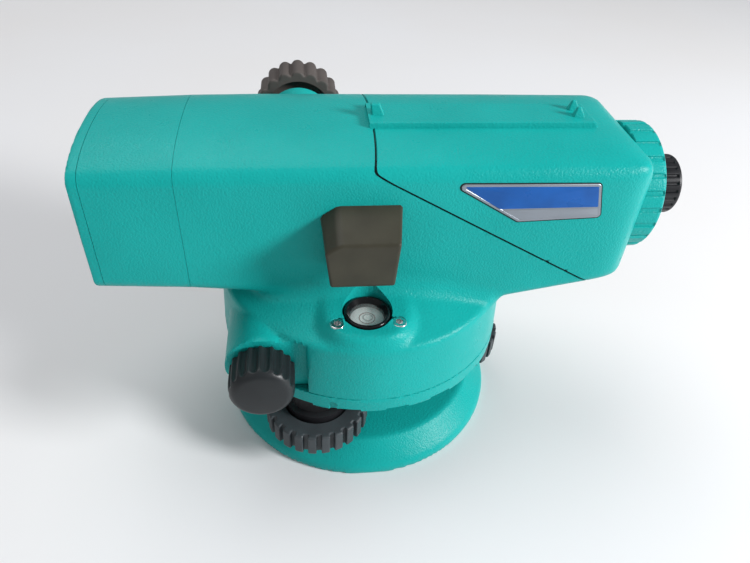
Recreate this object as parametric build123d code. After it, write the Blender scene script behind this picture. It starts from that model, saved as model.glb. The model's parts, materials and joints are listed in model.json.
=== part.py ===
from build123d import *
import math
import os

# Automatic level, in millimetres.  Origin: centre of the base plate's underside, on the standing axis.
# +Z is up, +X points along the telescope to the eyepiece, +Y is the side of the focusing knob.

# ---- base plate and levelling screws
BASE_R, BASE_RIM, BASE_TOP, BASE_TOP_R = 58.5, 3.5, 12.0, 50.0
TRIPOD_R = 7.94                      # major radius of the 5/8 inch tripod thread
SCREW_PCR = 43.0                     # levelling screws stand on this radius
SCREW_AZ = (-118.0, 2.0, 122.0)
SCREW_NAMES = ("front", "right", "rear")
LIFT = 2.5                           # head moves this far up and down from rest
LEV_KNOB_R, LEV_KNOB_Z0, LEV_KNOB_Z1, LEV_RIBS = 20.4, 15.0, 25.0, 24
LEV_R, BALL_R, NECK_R = 4.0, 4.0, 2.6
SPRING_T = 1.2

# ---- levelling head, circle and clutch
HEAD_Z0, HEAD_Z1, HUB_Z0 = 30.0, 37.0, 28.0
HUB_LOW_R, HUB_MID_R, HUB_TOP_R = 27.0, 24.0, 20.0
RING_R, RING_Z0, RING_WALL, RING_NOTCHES = 57.3, 38.0, 3.5, 20
WEB_Z0, WEB_Z1 = 42.0, 44.2
SCALE_R, SCALE_TOP = 51.5, 49.2
WHEEL_Z0, WHEEL_Z1, WHEEL_TEETH, WHEEL_MODULE = 52.0, 58.0, 140, 0.5
HUB_TOP = 61.5
SPINDLE_R, BUSH_R = 8.0, 12.0
RUN = 0.04                           # radial clearance of every running fit
GAP = 0.35                           # clearance between moving parts that do not bear on each other

# ---- round housing
HOUSE_R, HOUSE_RIM_R, HOUSE_Z0, HOUSE_RIM_Z, HOUSE_WALL = 57.2, 56.0, 45.0, 68.0, 3.2
CONE_R, CONE_Z = 28.0, 78.5
CHAMBER_TOP, FLOOR_Z = 64.5, 70.0
LEVEL_X, LEVEL_Y, LEVEL_TOP, LEVEL_R = -2.2, -41.3, 72.8, 8.24
LEVEL_BOSS_R = 15.3
LEVEL_SCREWS = ((-13.0, -46.4), (8.5, -46.7))

# ---- horizontal drive
DRIVE_X, DRIVE_Z, DRIVE_KNOB_R = -39.5, 55.0, 11.5
DRIVE_BOSS_Y, DRIVE_END_Y, DRIVE_GROOVES = 48.0, 62.5, 18
DRIVE_SHAFT_R, WORM_R = 2.5, 4.0

# ---- telescope
AXIS_Z = 99.0
FRONT_X, RING_SEAM_X, HOOD_SEAM_X = -95.2, -91.6, -63.1
REAR_X, COVER_X, COVER_Z = 101.0, -1.2, 121.8
TOP_Z = 128.2                        # flat along the top of the telescope, under the sights
COVER_FOOT = (82.0, 75.0)            # where the cover's slanting seam meets the belly
SHELL = 2.8
APERTURE_R = 16.0
SEAM = 0.5                           # width of the seam the gasket closes
SIGHT_Y, SIGHT_X0, SIGHT_X1, SIGHT_H = 8.6, 1.5, 80.0, 4.1

# ---- focusing
FOCUS_X, FOCUS_Z, FOCUS_KNOB_R, FOCUS_LOBES = -24.0, 107.0, 17.6, 18
FOCUS_KNOB_Y0, FOCUS_KNOB_Y1 = 46.5, 60.5
PINION_TEETH, PINION_MODULE = 16, 0.5
FOCUS_TRAVEL = 7.0
CARRIAGE_R, ROD_R, ROD_OFF = 13.0, 1.5, 17.0

# ---- eyepiece
TUBE_R, BARREL_R = 13.9, 9.5
COLLAR_R, DIOPTRE_R = 24.3, 11.4
DIOPTRE_X0, DIOPTRE_X1 = REAR_X + 8.6, REAR_X + 18.8


# ------------------------------------------------------------------ helpers
def disc(radius, z0, z1, x=0.0, y=0.0):
    """Upright round bar between two heights."""
    return Pos(x, y, (z0 + z1) / 2) * Cylinder(radius, z1 - z0)


def tube(outer, inner, z0, z1, x=0.0, y=0.0):
    """Upright round bar with a bore right through."""
    return disc(outer, z0, z1, x, y) - disc(inner, z0 - 1, z1 + 1, x, y)


def bar_x(radius, x0, x1, y=0.0, z=AXIS_Z):
    """Round bar along X."""
    return Pos((x0 + x1) / 2, y, z) * Rot(0, 90, 0) * Cylinder(radius, x1 - x0)


def tube_x(outer, inner, x0, x1, y=0.0, z=AXIS_Z):
    """Round bar along X with a bore right through."""
    return bar_x(outer, x0, x1, y, z) - bar_x(inner, x0 - 1, x1 + 1, y, z)


def bar_y(radius, y0, y1, x, z):
    """Round bar along Y."""
    return Pos(x, (y0 + y1) / 2, z) * Rot(90, 0, 0) * Cylinder(radius, abs(y1 - y0))


def block(x0, x1, y0, y1, z0, z1):
    """Box between two corners."""
    return Pos((x0 + x1) / 2, (y0 + y1) / 2, (z0 + z1) / 2) * Box(x1 - x0, y1 - y0, z1 - z0)


def prism_y(points, y0, y1):
    """Polygon given as (x, z) corners, carried along Y."""
    plane = Plane(origin=(0, y0, 0), x_dir=(1, 0, 0), z_dir=(0, -1, 0))
    return extrude(plane * make_face(Polyline(*points, close=True)), amount=-(y1 - y0))


def prism_x(points, x0, x1):
    """Polygon given as (y, z) corners, carried along X."""
    plane = Plane(origin=(x0, 0, 0), x_dir=(0, 1, 0), z_dir=(1, 0, 0))
    return extrude(plane * make_face(Polyline(*points, close=True)), amount=x1 - x0)


def prism_z(points, z0, z1):
    """Polygon given as (x, y) corners, carried along Z."""
    return extrude(Pos(0, 0, z0) * make_face(Polyline(*points, close=True)), amount=z1 - z0)


def turned(points):
    """Solid of revolution about Z from (radius, z) corners."""
    return revolve(Plane.XZ * make_face(Polyline(*points, close=True)), Axis.Z)


def lens(radius, x_mid, edge, bulge):
    """Biconvex lens on the optical axis: rim thickness plus a bulge on each face."""
    half = bulge + edge / 2
    big = (radius**2 + bulge**2) / (2 * bulge)
    sag = big - math.sqrt(big**2 - radius**2 / 4)
    outline = make_face([Line((0, -half), (0, half)), ThreePointArc((0, half), (radius / 2, half - sag), (radius, edge / 2)),
                         Line((radius, edge / 2), (radius, -edge / 2)),
                         ThreePointArc((radius, -edge / 2), (radius / 2, sag - half), (0, -half))])
    return Pos(x_mid, 0, AXIS_Z) * Rot(0, 90, 0) * revolve(Plane.XZ * outline, Axis.Z)


def on_circle(radius, azimuth):
    """Point on a circle round the standing axis."""
    return radius * math.cos(math.radians(azimuth)), radius * math.sin(math.radians(azimuth))


def spots():
    """Positions of the three levelling screws."""
    return [on_circle(SCREW_PCR, a) for a in SCREW_AZ]


def socket_screw(x, y, z0, z1, shank, head, head_h):
    """Hex socket cap screw standing upright, head on top ending at z1."""
    hexagon = extrude(Pos(x, y, z1 - 0.6 * head_h) * RegularPolygon(0.5 * head, 6), amount=head_h)
    return disc(shank, z0, z1 - head_h, x, y) + disc(head, z1 - head_h, z1, x, y) - hexagon


def gear_points(teeth, module, backlash, addendum=0.8, dedendum=1.15, turn=0.0):
    """Corners of an involute gear, 20 degree pressure angle, one tooth centred on the angle turn."""
    pitch = teeth * module / 2
    base = pitch * math.cos(math.radians(20))
    inv = math.tan(math.radians(20)) - math.radians(20)
    radii = [pitch - dedendum * module] + [
        max(base, pitch - 0.7 * module) + f * (pitch + addendum * module - max(base, pitch - 0.7 * module))
        for f in (0, 0.25, 0.5, 0.75, 1)
    ]
    half = []
    for r in radii:
        a = math.acos(min(1, base / max(r, base)))
        half.append(math.pi / 2 / teeth - backlash / 2 / pitch + inv - (math.tan(a) - a))
    points = []
    for k in range(teeth):
        mid = math.radians(turn) + math.tau * k / teeth
        side = [(r, mid - h) for r, h in zip(radii, half)] + [(r, mid + h) for r, h in zip(radii[::-1], half[::-1])]
        points += [(r * math.cos(a), r * math.sin(a)) for r, a in side]
    return points


# ------------------------------------------------------------------ base and levelling screws
def base_plate():
    """Round foot that stands on the tripod head: rim, broad cone, sockets for the screws' ball feet."""
    body = turned([(0, 0), (BASE_R - 0.6, 0), (BASE_R, 0.6), (BASE_R, BASE_RIM),
                   (BASE_R - 1, BASE_RIM + 0.7), (BASE_TOP_R, BASE_TOP), (0, BASE_TOP)])
    body -= disc(TRIPOD_R, -1, BASE_TOP + 1)
    body -= turned([(TRIPOD_R + 10, -1), (SCREW_PCR - 12, -1), (SCREW_PCR - 12, BASE_TOP - 8),
                    (TRIPOD_R + 10, BASE_TOP - 8)])
    for x, y in spots():
        body -= disc(BALL_R + 2, BASE_TOP - 8.5, BASE_TOP + 1, x, y)
    for x, y in [on_circle(15, a + 60) for a in SCREW_AZ]:
        body -= disc(1.25, BASE_TOP - 6, BASE_TOP + 1, x, y)
    return body


def spring_plate():
    """Three-armed leaf that holds the ball feet down in their sockets."""
    body = disc(19, BASE_TOP, BASE_TOP + SPRING_T)
    for (x, y), a in zip(spots(), SCREW_AZ):
        arm = Rot(0, 0, a) * block(0, SCREW_PCR, -7, 7, BASE_TOP, BASE_TOP + SPRING_T)
        body += arm + disc(7, BASE_TOP, BASE_TOP + SPRING_T, x, y)
    body -= disc(TRIPOD_R + 2, 0, BASE_TOP + 5)
    for x, y in spots():
        body -= disc(NECK_R + GAP, BASE_TOP - 1, BASE_TOP + 5, x, y)
    for x, y in [on_circle(15, a + 60) for a in SCREW_AZ]:
        body -= disc(1.25, BASE_TOP - 1, BASE_TOP + 5, x, y)
    return body


def spring_plate_screws():
    """Three low-headed screws through the spring plate."""
    top = BASE_TOP + SPRING_T
    points = [on_circle(15, a + 60) for a in SCREW_AZ]
    return Compound(children=[
        disc(1.25, BASE_TOP - 5.5, top, x, y) + disc(2.4, top, top + 1.2, x, y)
        - block(x - 2.5, x + 2.5, y - 0.3, y + 0.3, top + 0.7, top + 2) for x, y in points])


def levelling_screw(x, y):
    """Threaded spindle with a neck and a ball foot flattened where it bears."""
    foot = BASE_TOP - 8.5
    ball = (Pos(x, y, foot + BALL_R - 0.3) * Sphere(BALL_R)) & disc(BALL_R, foot, foot + 9, x, y)
    neck = disc(NECK_R, foot + BALL_R, LEV_KNOB_Z0, x, y)
    return ball + neck + disc(LEV_R, LEV_KNOB_Z0, WEB_Z0 - LIFT - 1.2, x, y)


def levelling_knob(x, y):
    """Ribbed hand knob pressed on the screw, cupped on top for the dust sleeve."""
    outline = Circle(LEV_KNOB_R)
    slot = Rectangle(3.2, 2.0)
    for k in range(LEV_RIBS):
        outline -= Rot(0, 0, 360 * k / LEV_RIBS) * Pos(LEV_KNOB_R, 0) * slot
    body = Pos(x, y, 0) * extrude(Pos(0, 0, LEV_KNOB_Z0) * outline, amount=LEV_KNOB_Z1 - LEV_KNOB_Z0)
    body &= Pos(x, y, 0) * turned([(0, 0), (LEV_KNOB_R - 1, 0), (LEV_KNOB_R - 1, LEV_KNOB_Z0),
                                   (LEV_KNOB_R, LEV_KNOB_Z0 + 1), (LEV_KNOB_R, LEV_KNOB_Z1 - 1),
                                   (LEV_KNOB_R - 1, LEV_KNOB_Z1), (0, LEV_KNOB_Z1)])
    body -= disc(SLEEVE_R + 0.8, sleeve_floor(), LEV_KNOB_Z1 + 1, x, y)
    return body - disc(LEV_R, LEV_KNOB_Z0 - 1, LEV_KNOB_Z1, x, y)


SLEEVE_R = 12.5


def sleeve_floor():
    """Height of the knob's cup floor, below the dust sleeve's lowest point."""
    return LEV_KNOB_Z0 + 2.4


def dust_sleeves():
    """Three domed sleeves under the head that dip into the knobs' cups."""
    low = sleeve_floor() + LIFT + 0.6
    profile = [(SLEEVE_R, low), (SLEEVE_R, LEV_KNOB_Z1 + LIFT), (SLEEVE_R - 2, HEAD_Z0 - 1.4), (SLEEVE_R - 3, HEAD_Z0),
               (LEV_R + 3.8, HEAD_Z0), (LEV_R + 3.8, HEAD_Z0 - 1.6), (SLEEVE_R - 4, HEAD_Z0 - 2.6),
               (SLEEVE_R - 1.4, LEV_KNOB_Z1 + LIFT - 0.8), (SLEEVE_R - 1.4, low)]
    return Compound(children=[Pos(x, y, 0) * turned(profile) for x, y in spots()])


# ------------------------------------------------------------------ levelling head, circle, clutch
def levelling_head():
    """Three-lobed plate with the stepped hub that carries the circle, the clutch wheel and the spindle."""
    body = disc(34, HEAD_Z0, HEAD_Z1)
    for (x, y), a in zip(spots(), SCREW_AZ):
        body += disc(11.5, HEAD_Z0, HEAD_Z1, x, y)
        body += Rot(0, 0, a) * block(0, SCREW_PCR, -10, 10, HEAD_Z0, HEAD_Z1)
    body += disc(HUB_LOW_R, HUB_Z0, WEB_Z0) + disc(HUB_MID_R, WEB_Z0, WHEEL_Z0) + disc(HUB_TOP_R, WHEEL_Z0, HUB_TOP)
    body -= disc(BUSH_R, HUB_Z0 - 1, HUB_TOP + 1)
    for x, y in spots():
        body -= disc(LEV_R + 2.6, HEAD_Z0 - 1, HEAD_Z1 + 1, x, y)
    return body


def levelling_nuts():
    """Three threaded inserts the levelling screws climb in."""
    wide = LEV_R + 2.6
    return Compound(children=[
        disc(wide, HEAD_Z0 - 1.2, HEAD_Z1, x, y) + disc(wide + 1.2, HEAD_Z1, HEAD_Z1 + 2.2, x, y)
        - disc(LEV_R + RUN, HEAD_Z0 - 3, HEAD_Z1 + 3, x, y) for x, y in spots()])


def circle_ring():
    """Horizontal circle: finger ring with a notched lower edge, index cut and inner web."""
    top = HOUSE_Z0 - 0.3
    body = turned([(HUB_MID_R + RUN, WEB_Z0), (RING_R - RING_WALL, WEB_Z0), (RING_R - RING_WALL, RING_Z0),
                   (RING_R, RING_Z0), (RING_R, top), (RING_R - 1.5, top), (RING_R - 1.5, WEB_Z1),
                   (HUB_MID_R + RUN, WEB_Z1)])
    for k in range(RING_NOTCHES):
        body -= Rot(0, 0, 360 * (k + 0.5) / RING_NOTCHES) * block(RING_R - 1.2, RING_R + 1, -4.4, 4.4,
                                                                 RING_Z0 - 1, RING_Z0 + 1.4)
    index = block(RING_R - 1.0, RING_R + 1, -1.4, 1.4, RING_Z0 - 1, RING_Z0 + 3.2)
    return body - Rot(0, 0, -105) * (index + bar_x(1.4, RING_R - 1, RING_R + 1, 0, RING_Z0 + 3.2))


def circle_scale():
    """Graduated band standing on the circle's web, read through the window."""
    return tube(SCALE_R, SCALE_R - 1.5, WEB_Z1, SCALE_TOP)


def worm_wheel():
    """Clutch wheel, free to slip on the hub; its teeth stop just short of the worm."""
    tip = DRIVE_REACH - WORM_R - GAP
    root = tip - 2.1 * WHEEL_MODULE
    points = []
    for k in range(WHEEL_TEETH):
        for r, f in ((root, -0.36), (tip, -0.16), (tip, 0.16), (root, 0.36)):
            a = math.tau * (k + f) / WHEEL_TEETH
            points.append((r * math.cos(a), r * math.sin(a)))
    body = prism_z(points, WHEEL_Z0, WHEEL_Z1)
    body -= tube(root - 4, HUB_TOP_R + 8, WHEEL_Z1 - 2, WHEEL_Z1 + 1)
    return body - disc(HUB_TOP_R + RUN, WHEEL_Z0 - 1, WHEEL_Z1 + 1)


DRIVE_REACH = abs(DRIVE_X)


def clutch_spring():
    """Dished washer pressing the wheel on the hub's shoulder."""
    low, high = WHEEL_Z1, WHEEL_Z1 + 1.5
    return turned([(HUB_TOP_R + 0.4, high - 0.5), (HUB_TOP_R + 6, low), (HUB_TOP_R + 6, low + 0.5),
                   (HUB_TOP_R + 0.4, high)])


def clutch_clip():
    """Clip on the hub above the dished washer."""
    return tube(HUB_TOP_R + 3.5, HUB_TOP_R, WHEEL_Z1 + 1.5, WHEEL_Z1 + 2.7)


def spindle_bush():
    """Plain bearing pressed in the hub."""
    return tube(BUSH_R, SPINDLE_R + RUN, HUB_Z0, HUB_TOP)


def spindle():
    """Standing axis, flanged under the housing's floor."""
    body = disc(SPINDLE_R, HUB_Z0 - 9, CHAMBER_TOP) + disc(HUB_TOP_R + 2, HUB_TOP + 0.3, CHAMBER_TOP)
    for x, y in flange_spots():
        body -= disc(1.5, CHAMBER_TOP - 2, CHAMBER_TOP + 1, x, y)
    return body


def flange_spots():
    """Positions of the screws through the spindle's flange."""
    return [on_circle(17, a) for a in (30, 150, 270)]


def spindle_nut():
    """Collar nut that keeps the spindle in its bush."""
    outer = extrude(Pos(0, 0, HUB_Z0 - 6) * RegularPolygon(13, 6), amount=5.8)
    return outer - disc(SPINDLE_R, HUB_Z0 - 9, HUB_Z0 + 1)


def spindle_screws():
    """Three cap screws through the housing floor into the spindle's flange."""
    return Compound(children=[socket_screw(x, y, CHAMBER_TOP - 2, FLOOR_Z + 2.5, 1.5, 2.6, 2.5) for x, y in flange_spots()])


# ------------------------------------------------------------------ telescope outline
def section(x, inset, half_low, half_top, low_corner, top_corner, apex, bottom):
    """Cross-section of the telescope at x: leaning side walls, shallow arcs above and below, rounded corners."""
    plane = Plane(origin=(x, 0, 0), x_dir=(0, 1, 0), z_dir=(1, 0, 0))
    a, b = (-half_low + inset, low_corner + inset), (-half_top + inset, top_corner - inset)
    c, d = (half_top - inset, top_corner - inset), (half_low - inset, low_corner + inset)
    outline = [Line(a, b), ThreePointArc(b, (0, apex - inset), c), Line(c, d), ThreePointArc(d, (0, bottom + inset), a)]
    face = make_face(outline)
    return plane * fillet(face.vertices(), max(4.5 - inset, 1.5))


def hood_outline(x, inset=0.0):
    """Section of the drafted hood."""
    f = (x - FRONT_X) / (HOOD_SEAM_X - FRONT_X)
    return section(x, inset, 30.6 + 0.9 * f, 29.6 + 0.9 * f, 78.5 - 1.2 * f, 121.0 + 0.8 * f,
                   127.3 + 1.7 * f, 74.5 - 1.0 * f)


def hood_solid(x0, x1, inset=0.0):
    """Hood between two stations."""
    body = loft([hood_outline(x0, inset), hood_outline(x1, inset)], ruled=True)
    return body & block(x0 - 1, x1 + 1, -50, 50, 50, TOP_Z - inset)


def body_solid(inset=0.0):
    """Main telescope outline, from the hood's seam to the rounded rear end."""
    stations = [section(HOOD_SEAM_X + inset, inset, 31.6, 30.6, 77.0, 121.9, 129.2, 73.2),
                section(-40, inset, 32.2, 30.8, 75.5, 122.0, 129.6, 71.0),
                section(45, inset, 32.4, 30.8, 68.5, 122.0, 129.8, 65.0),
                section(REAR_X + 1 - inset, inset, 31.6, 30.6, 79.5, 121.8, 129.6, 76.5)]
    body = loft(stations, ruled=True)
    x1 = REAR_X - inset
    half, start = 33.0 - inset, 78.0
    plan = make_face([Line((HOOD_SEAM_X - 5, -half), (start, -half)),
                      Spline((start, -half), (90.5 - inset, -30.0 + 0.8 * inset), (x1 - 2.2, -19), (x1, 0),
                             tangents=((1, 0), (0, 1))),
                      Spline((x1, 0), (x1 - 2.2, 19), (90.5 - inset, 30.0 - 0.8 * inset), (start, half),
                             tangents=((0, 1), (-1, 0))),
                      Line((start, half), (HOOD_SEAM_X - 5, half)),
                      Line((HOOD_SEAM_X - 5, half), (HOOD_SEAM_X - 5, -half))])
    body &= extrude(Pos(0, 0, 40) * plan, amount=120)
    side = Plane(origin=(0, 0, 0), x_dir=(1, 0, 0), z_dir=(0, -1, 0))
    high = TOP_Z - inset
    profile = make_face([Line((HOOD_SEAM_X - 5, 50), (x1 - 7, 50)), Line((x1 - 7, 50), (x1 - 7, 77)),
                         Line((x1 - 7, 77), (x1, 92)), Line((x1, 92), (x1, 113)),
                         Spline((x1, 113), (x1 - 5.5, 123.5 - 0.7 * inset), (x1 - 24, high), tangents=((0, 1), (-1, 0))),
                         Line((x1 - 24, high), (HOOD_SEAM_X - 5, high)),
                         Line((HOOD_SEAM_X - 5, high), (HOOD_SEAM_X - 5, 50))])
    return body & extrude(side * profile, amount=60, both=True)


def cover_zone(shift=0.0):
    """Space behind the cover's seam: upright at the top, then slanting down to the belly."""
    slope = (COVER_FOOT[1] - COVER_Z) / (COVER_FOOT[0] - COVER_X)
    drop = shift * math.hypot(1, slope)
    far = 130.0
    return prism_y([(COVER_X - shift, 150), (COVER_X - shift, COVER_Z - drop - slope * shift),
                    (far, COVER_Z - drop + slope * (far - COVER_X)), (far, 150)], -50, 50)


# ------------------------------------------------------------------ housing
def drive_boss(side):
    """Boss for the drive's bearing on one side: round towards the objective, square towards the eyepiece."""
    y0, y1 = (-DRIVE_BOSS_Y, -18) if side < 0 else (18, DRIVE_BOSS_Y)
    round_part = bar_y(13.2, y0, y1, DRIVE_X, DRIVE_Z)
    square = block(DRIVE_X, DRIVE_X + 16.5, y0, y1, HOUSE_Z0, DRIVE_Z + 11)
    return (round_part + square) & block(DRIVE_X - 20, DRIVE_X + 20, -60, 60, HOUSE_Z0, 80)


def main_housing():
    """Cast body: round housing, telescope barrel up to the hood, bosses for drive, focusing and bubble."""
    body = turned([(0, HOUSE_Z0), (HOUSE_R, HOUSE_Z0), (HOUSE_RIM_R, HOUSE_RIM_Z - 2), (HOUSE_RIM_R - 0.8, HOUSE_RIM_Z - 0.4),
                   (HOUSE_RIM_R - 2.8, HOUSE_RIM_Z + 0.6), (CONE_R, CONE_Z), (0, CONE_Z)])
    body += drive_boss(-1) + drive_boss(1)
    boss = disc(LEVEL_BOSS_R, FLOOR_Z - 10, LEVEL_TOP, LEVEL_X, LEVEL_Y)
    boss += block(LEVEL_X - LEVEL_BOSS_R, LEVEL_X + LEVEL_BOSS_R, LEVEL_Y, -20, FLOOR_Z - 10, LEVEL_TOP)
    boss = chamfer(boss.edges().filter_by(lambda e: abs(e.center().Z - LEVEL_TOP) < 0.01
                                          and e.center().Y < LEVEL_Y - 1), 1.2)
    flat = disc(HOUSE_RIM_R - 0.5, FLOOR_Z - 10, LEVEL_TOP + 20)
    body += boss & flat
    cut = block(LEVEL_X - LEVEL_BOSS_R + 1.2, LEVEL_X + LEVEL_BOSS_R - 1.2, LEVEL_Y - 4, -32.5, LEVEL_TOP, LEVEL_TOP + 9)
    body = body - cut + (body_solid() - cover_zone())
    body += bar_y(13, 26, FOCUS_KNOB_Y0 - 4, FOCUS_X, FOCUS_Z)
    inner = body_solid(SHELL)
    body -= inner & block(HOOD_SEAM_X + 4, REAR_X + 5, -60, 60, FLOOR_Z, 150)
    body -= block(-21, FRAME_X1 + 2, -22, 22, FLOOR_Z, FLOOR_Z + 20)
    chamber = disc(HOUSE_R - HOUSE_WALL, HOUSE_Z0 - 1, CHAMBER_TOP)
    for side in (-1, 1):
        recess = sorted((side * DRIVE_BOSS_Y, side * (HOUSE_R + 5)))
        body -= block(-HOUSE_R - 5, DRIVE_X + 16, *recess, HOUSE_Z0 - 1, DRIVE_Z + 11.6)
        pad = block(DRIVE_X - 8, DRIVE_X + 8, *sorted((side * 41, side * 60)), HOUSE_Z0 - 1, CHAMBER_TOP)
        web = block(DRIVE_X + 8, DRIVE_X + 17, *sorted((side * (DRIVE_BOSS_Y - 1.2), side * 60)), HOUSE_Z0 - 1, CHAMBER_TOP)
        chamber -= pad + web
    body -= chamber
    body -= bar_y(6.0, -DRIVE_BOSS_Y - 1, DRIVE_BOSS_Y + 1, DRIVE_X, DRIVE_Z) & block(-60, 0, -60, 60, 0, 100)
    for x, y in flange_spots():
        body -= disc(1.5, CHAMBER_TOP - 1, FLOOR_Z + 1, x, y)
    body -= disc(LEVEL_R + 0.7, CHAMBER_TOP - 1, LEVEL_TOP + 1, LEVEL_X, LEVEL_Y)
    for x, y in LEVEL_SCREWS:
        body -= disc(1.25, CHAMBER_TOP - 1, LEVEL_TOP + 1, x, y) + disc(2.3, LEVEL_TOP - 2.5, LEVEL_TOP + 1, x, y)
    body -= bar_y(6.5, 20, FOCUS_KNOB_Y0, FOCUS_X, FOCUS_Z)
    body -= bar_x(APERTURE_R + 3, HOOD_SEAM_X - 1, HOOD_SEAM_X + 5)
    return body - block(HOUSE_R - 6, HOUSE_R + 2, -7, 7, HOUSE_Z0 + 1.5, SCALE_TOP + 3)


def circle_window():
    """Clear pane in the wall below the eyepiece for reading the circle."""
    pane = block(HOUSE_R - 4, HOUSE_R + 2, -7, 7, HOUSE_Z0 + 1.5, SCALE_TOP + 3)
    return pane & tube(HOUSE_R - 0.9, HOUSE_R - 2.4, HOUSE_Z0, SCALE_TOP + 5)


def rear_cover():
    """Shell over the rear upper half, with the open sights on top and the eyepiece hole behind."""
    body = body_solid() & cover_zone(-SEAM)
    top = TOP_Z
    rail = block(SIGHT_X0, SIGHT_X1, -SIGHT_Y, SIGHT_Y, top - 3, top + 0.9)
    body += rail & block(SIGHT_X0, SIGHT_X1, -20, 20, 100, 140)
    body += prism_y([(2.5, top), (2.5, top + 2.0), (4.5, top + SIGHT_H), (6.0, top + SIGHT_H), (8.0, top)], -2.0, 2.0)
    for y in (-4.2, 1.4):
        body += prism_y([(72.0, top), (73.0, top + SIGHT_H), (74.8, top + SIGHT_H), (77.0, top)], y, y + 2.8)
    body -= body_solid(SHELL) & cover_zone(5)
    body -= bar_x(TUBE_R, REAR_X - 10, REAR_X + 5)
    return body - plate_blank(PLATE_T - 0.2, 0.15)


def rear_gasket():
    """Cord seal lying in the seam of the rear cover, just below the surface."""
    ring = body_solid(0.7) - body_solid(SHELL - 0.4)
    return ring & (cover_zone(0) - cover_zone(-SEAM))


# ------------------------------------------------------------------ outside fittings
PLATE_T = 0.8
PLATE_POINTS = ((27.0, 118.3), (74.9, 117.9), (78.1, 105.2), (49.3, 104.0))


def plate_blank(depth, margin=0.0):
    """Outline of the name plate sunk in the leaning near wall, grown by margin."""
    cx = sum(p[0] for p in PLATE_POINTS) / 4
    cz = sum(p[1] for p in PLATE_POINTS) / 4
    grown = [(cx + (x - cx) * (1 + margin / 14), cz + (z - cz) * (1 + margin / 7)) for x, z in PLATE_POINTS]
    slab = prism_y(grown, -40, -20)
    lean = (31.9 - 30.75) / (122 - 75)
    skin = prism_x([(-30.75 + depth, 122), (-30.75 + depth - lean * 47, 75), (-50, 75), (-50, 122)], 10, 95)
    return slab & skin


def name_plate():
    """Thin bare plate let into the near side of the rear cover."""
    lean = (31.9 - 30.75) / (122 - 75)
    proud = prism_x([(-31.0, 122), (-31.0 - lean * 47, 75), (0, 75), (0, 122)], 10, 95)
    return plate_blank(PLATE_T - 0.2) & proud


def mirror_solid(inset=0.0):
    """Hooded outline beside the telescope: sloping roof, near upright face, chamfered front."""
    y0, y1, y2 = -30.0, -45.0 + inset, -46.0 + inset
    body = prism_x([(y0, 111 - inset), (y1, 105 - inset), (y2, 87), (y0, 87)], -18.5 + inset, 8.6)
    slant = 11.0
    body -= prism_z([(-40, -20), (-18.5 + inset, -20), (-18.5 + inset, -31), (-18.5 + inset + slant * 0.62, -46.5),
                     (-40, -46.5)], 60, 130)
    body -= prism_y([(-40, 130), (-40, 105.0), (-19, 105.0 - inset), (-11.4, 112 - inset), (0, 130)], -60, -20)
    return body - prism_y([(8.6, 112), (20, 112), (20, 80), (5.0, 80), (8.2, 105)], -60, -20)


def mirror_housing():
    """Hood over the bubble mirror, open below and towards the eyepiece."""
    hollow = mirror_solid(1.8) + (mirror_solid(1.8) & block(-60, 60, -60, -30, 80, 92))
    hollow = hollow & block(-60, 60, -60, -33.6, 60, 130)
    return (mirror_solid() - hollow - body_solid()) - block(-60, 60, -32.0, 0, 60, 130)


def bubble_mirror():
    """Slanting glass that shows the bubble to the observer."""
    plate = Pos(-2.5, -38.8, 97.2) * Rot(0, 38, 0) * Box(16.5, 8.4, 1.2)
    return plate


def level_case():
    """Round case of the circular bubble on its two-eared adjusting plate."""
    plate_z0, plate_z1 = CHAMBER_TOP - 3.0, CHAMBER_TOP - 0.5
    body = disc(LEVEL_R, plate_z0, LEVEL_TOP + 0.2, LEVEL_X, LEVEL_Y)
    for x, y in LEVEL_SCREWS:
        body += disc(3.4, plate_z0, plate_z1, x, y)
    ears = prism_z([LEVEL_SCREWS[0], (LEVEL_X, LEVEL_Y - 7), LEVEL_SCREWS[1], (LEVEL_X, LEVEL_Y + 7)], plate_z0, plate_z1)
    body += ears
    body -= disc(6.2, LEVEL_TOP - 5.5, LEVEL_TOP + 1, LEVEL_X, LEVEL_Y)
    for x, y in LEVEL_SCREWS:
        body -= disc(1.25, plate_z0 - 1, plate_z1 + 1, x, y)
    return body


def level_vial():
    """Domed glass with liquid, seen from above."""
    low, high = LEVEL_TOP - 5.5, LEVEL_TOP - 0.4
    ball = Pos(LEVEL_X, LEVEL_Y, high - 30) * Sphere(30)
    return disc(6.2, low, high, LEVEL_X, LEVEL_Y) & ball


def level_screws():
    """Two hex socket screws that tilt the bubble's case."""
    return Compound(children=[socket_screw(x, y, CHAMBER_TOP - 3.5, LEVEL_TOP, 1.25, 2.2, 2.4) for x, y in LEVEL_SCREWS])


# ------------------------------------------------------------------ drive
def worm_shaft():
    """Cross shaft with the worm in its middle; the thread is drawn as rings."""
    body = bar_y(DRIVE_SHAFT_R, -DRIVE_END_Y + 4, DRIVE_END_Y - 4, DRIVE_X, DRIVE_Z)
    body += bar_y(WORM_R - 0.8, -14, 14, DRIVE_X, DRIVE_Z)
    pitch = math.pi * WHEEL_MODULE * 2
    for k in range(-6, 7):
        body += bar_y(WORM_R, k * pitch - 0.7, k * pitch + 0.7, DRIVE_X, DRIVE_Z)
    return body


def worm_bushes():
    """Two flanged bushes that carry the cross shaft."""
    parts = []
    for s in (-1, 1):
        y0, y1 = sorted((s * 41.0, s * DRIVE_BOSS_Y))
        parts.append(bar_y(6.0, y0, y1, DRIVE_X, DRIVE_Z) - bar_y(DRIVE_SHAFT_R + RUN, y0 - 1, y1 + 1, DRIVE_X, DRIVE_Z))
    return Compound(children=parts)


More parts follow.
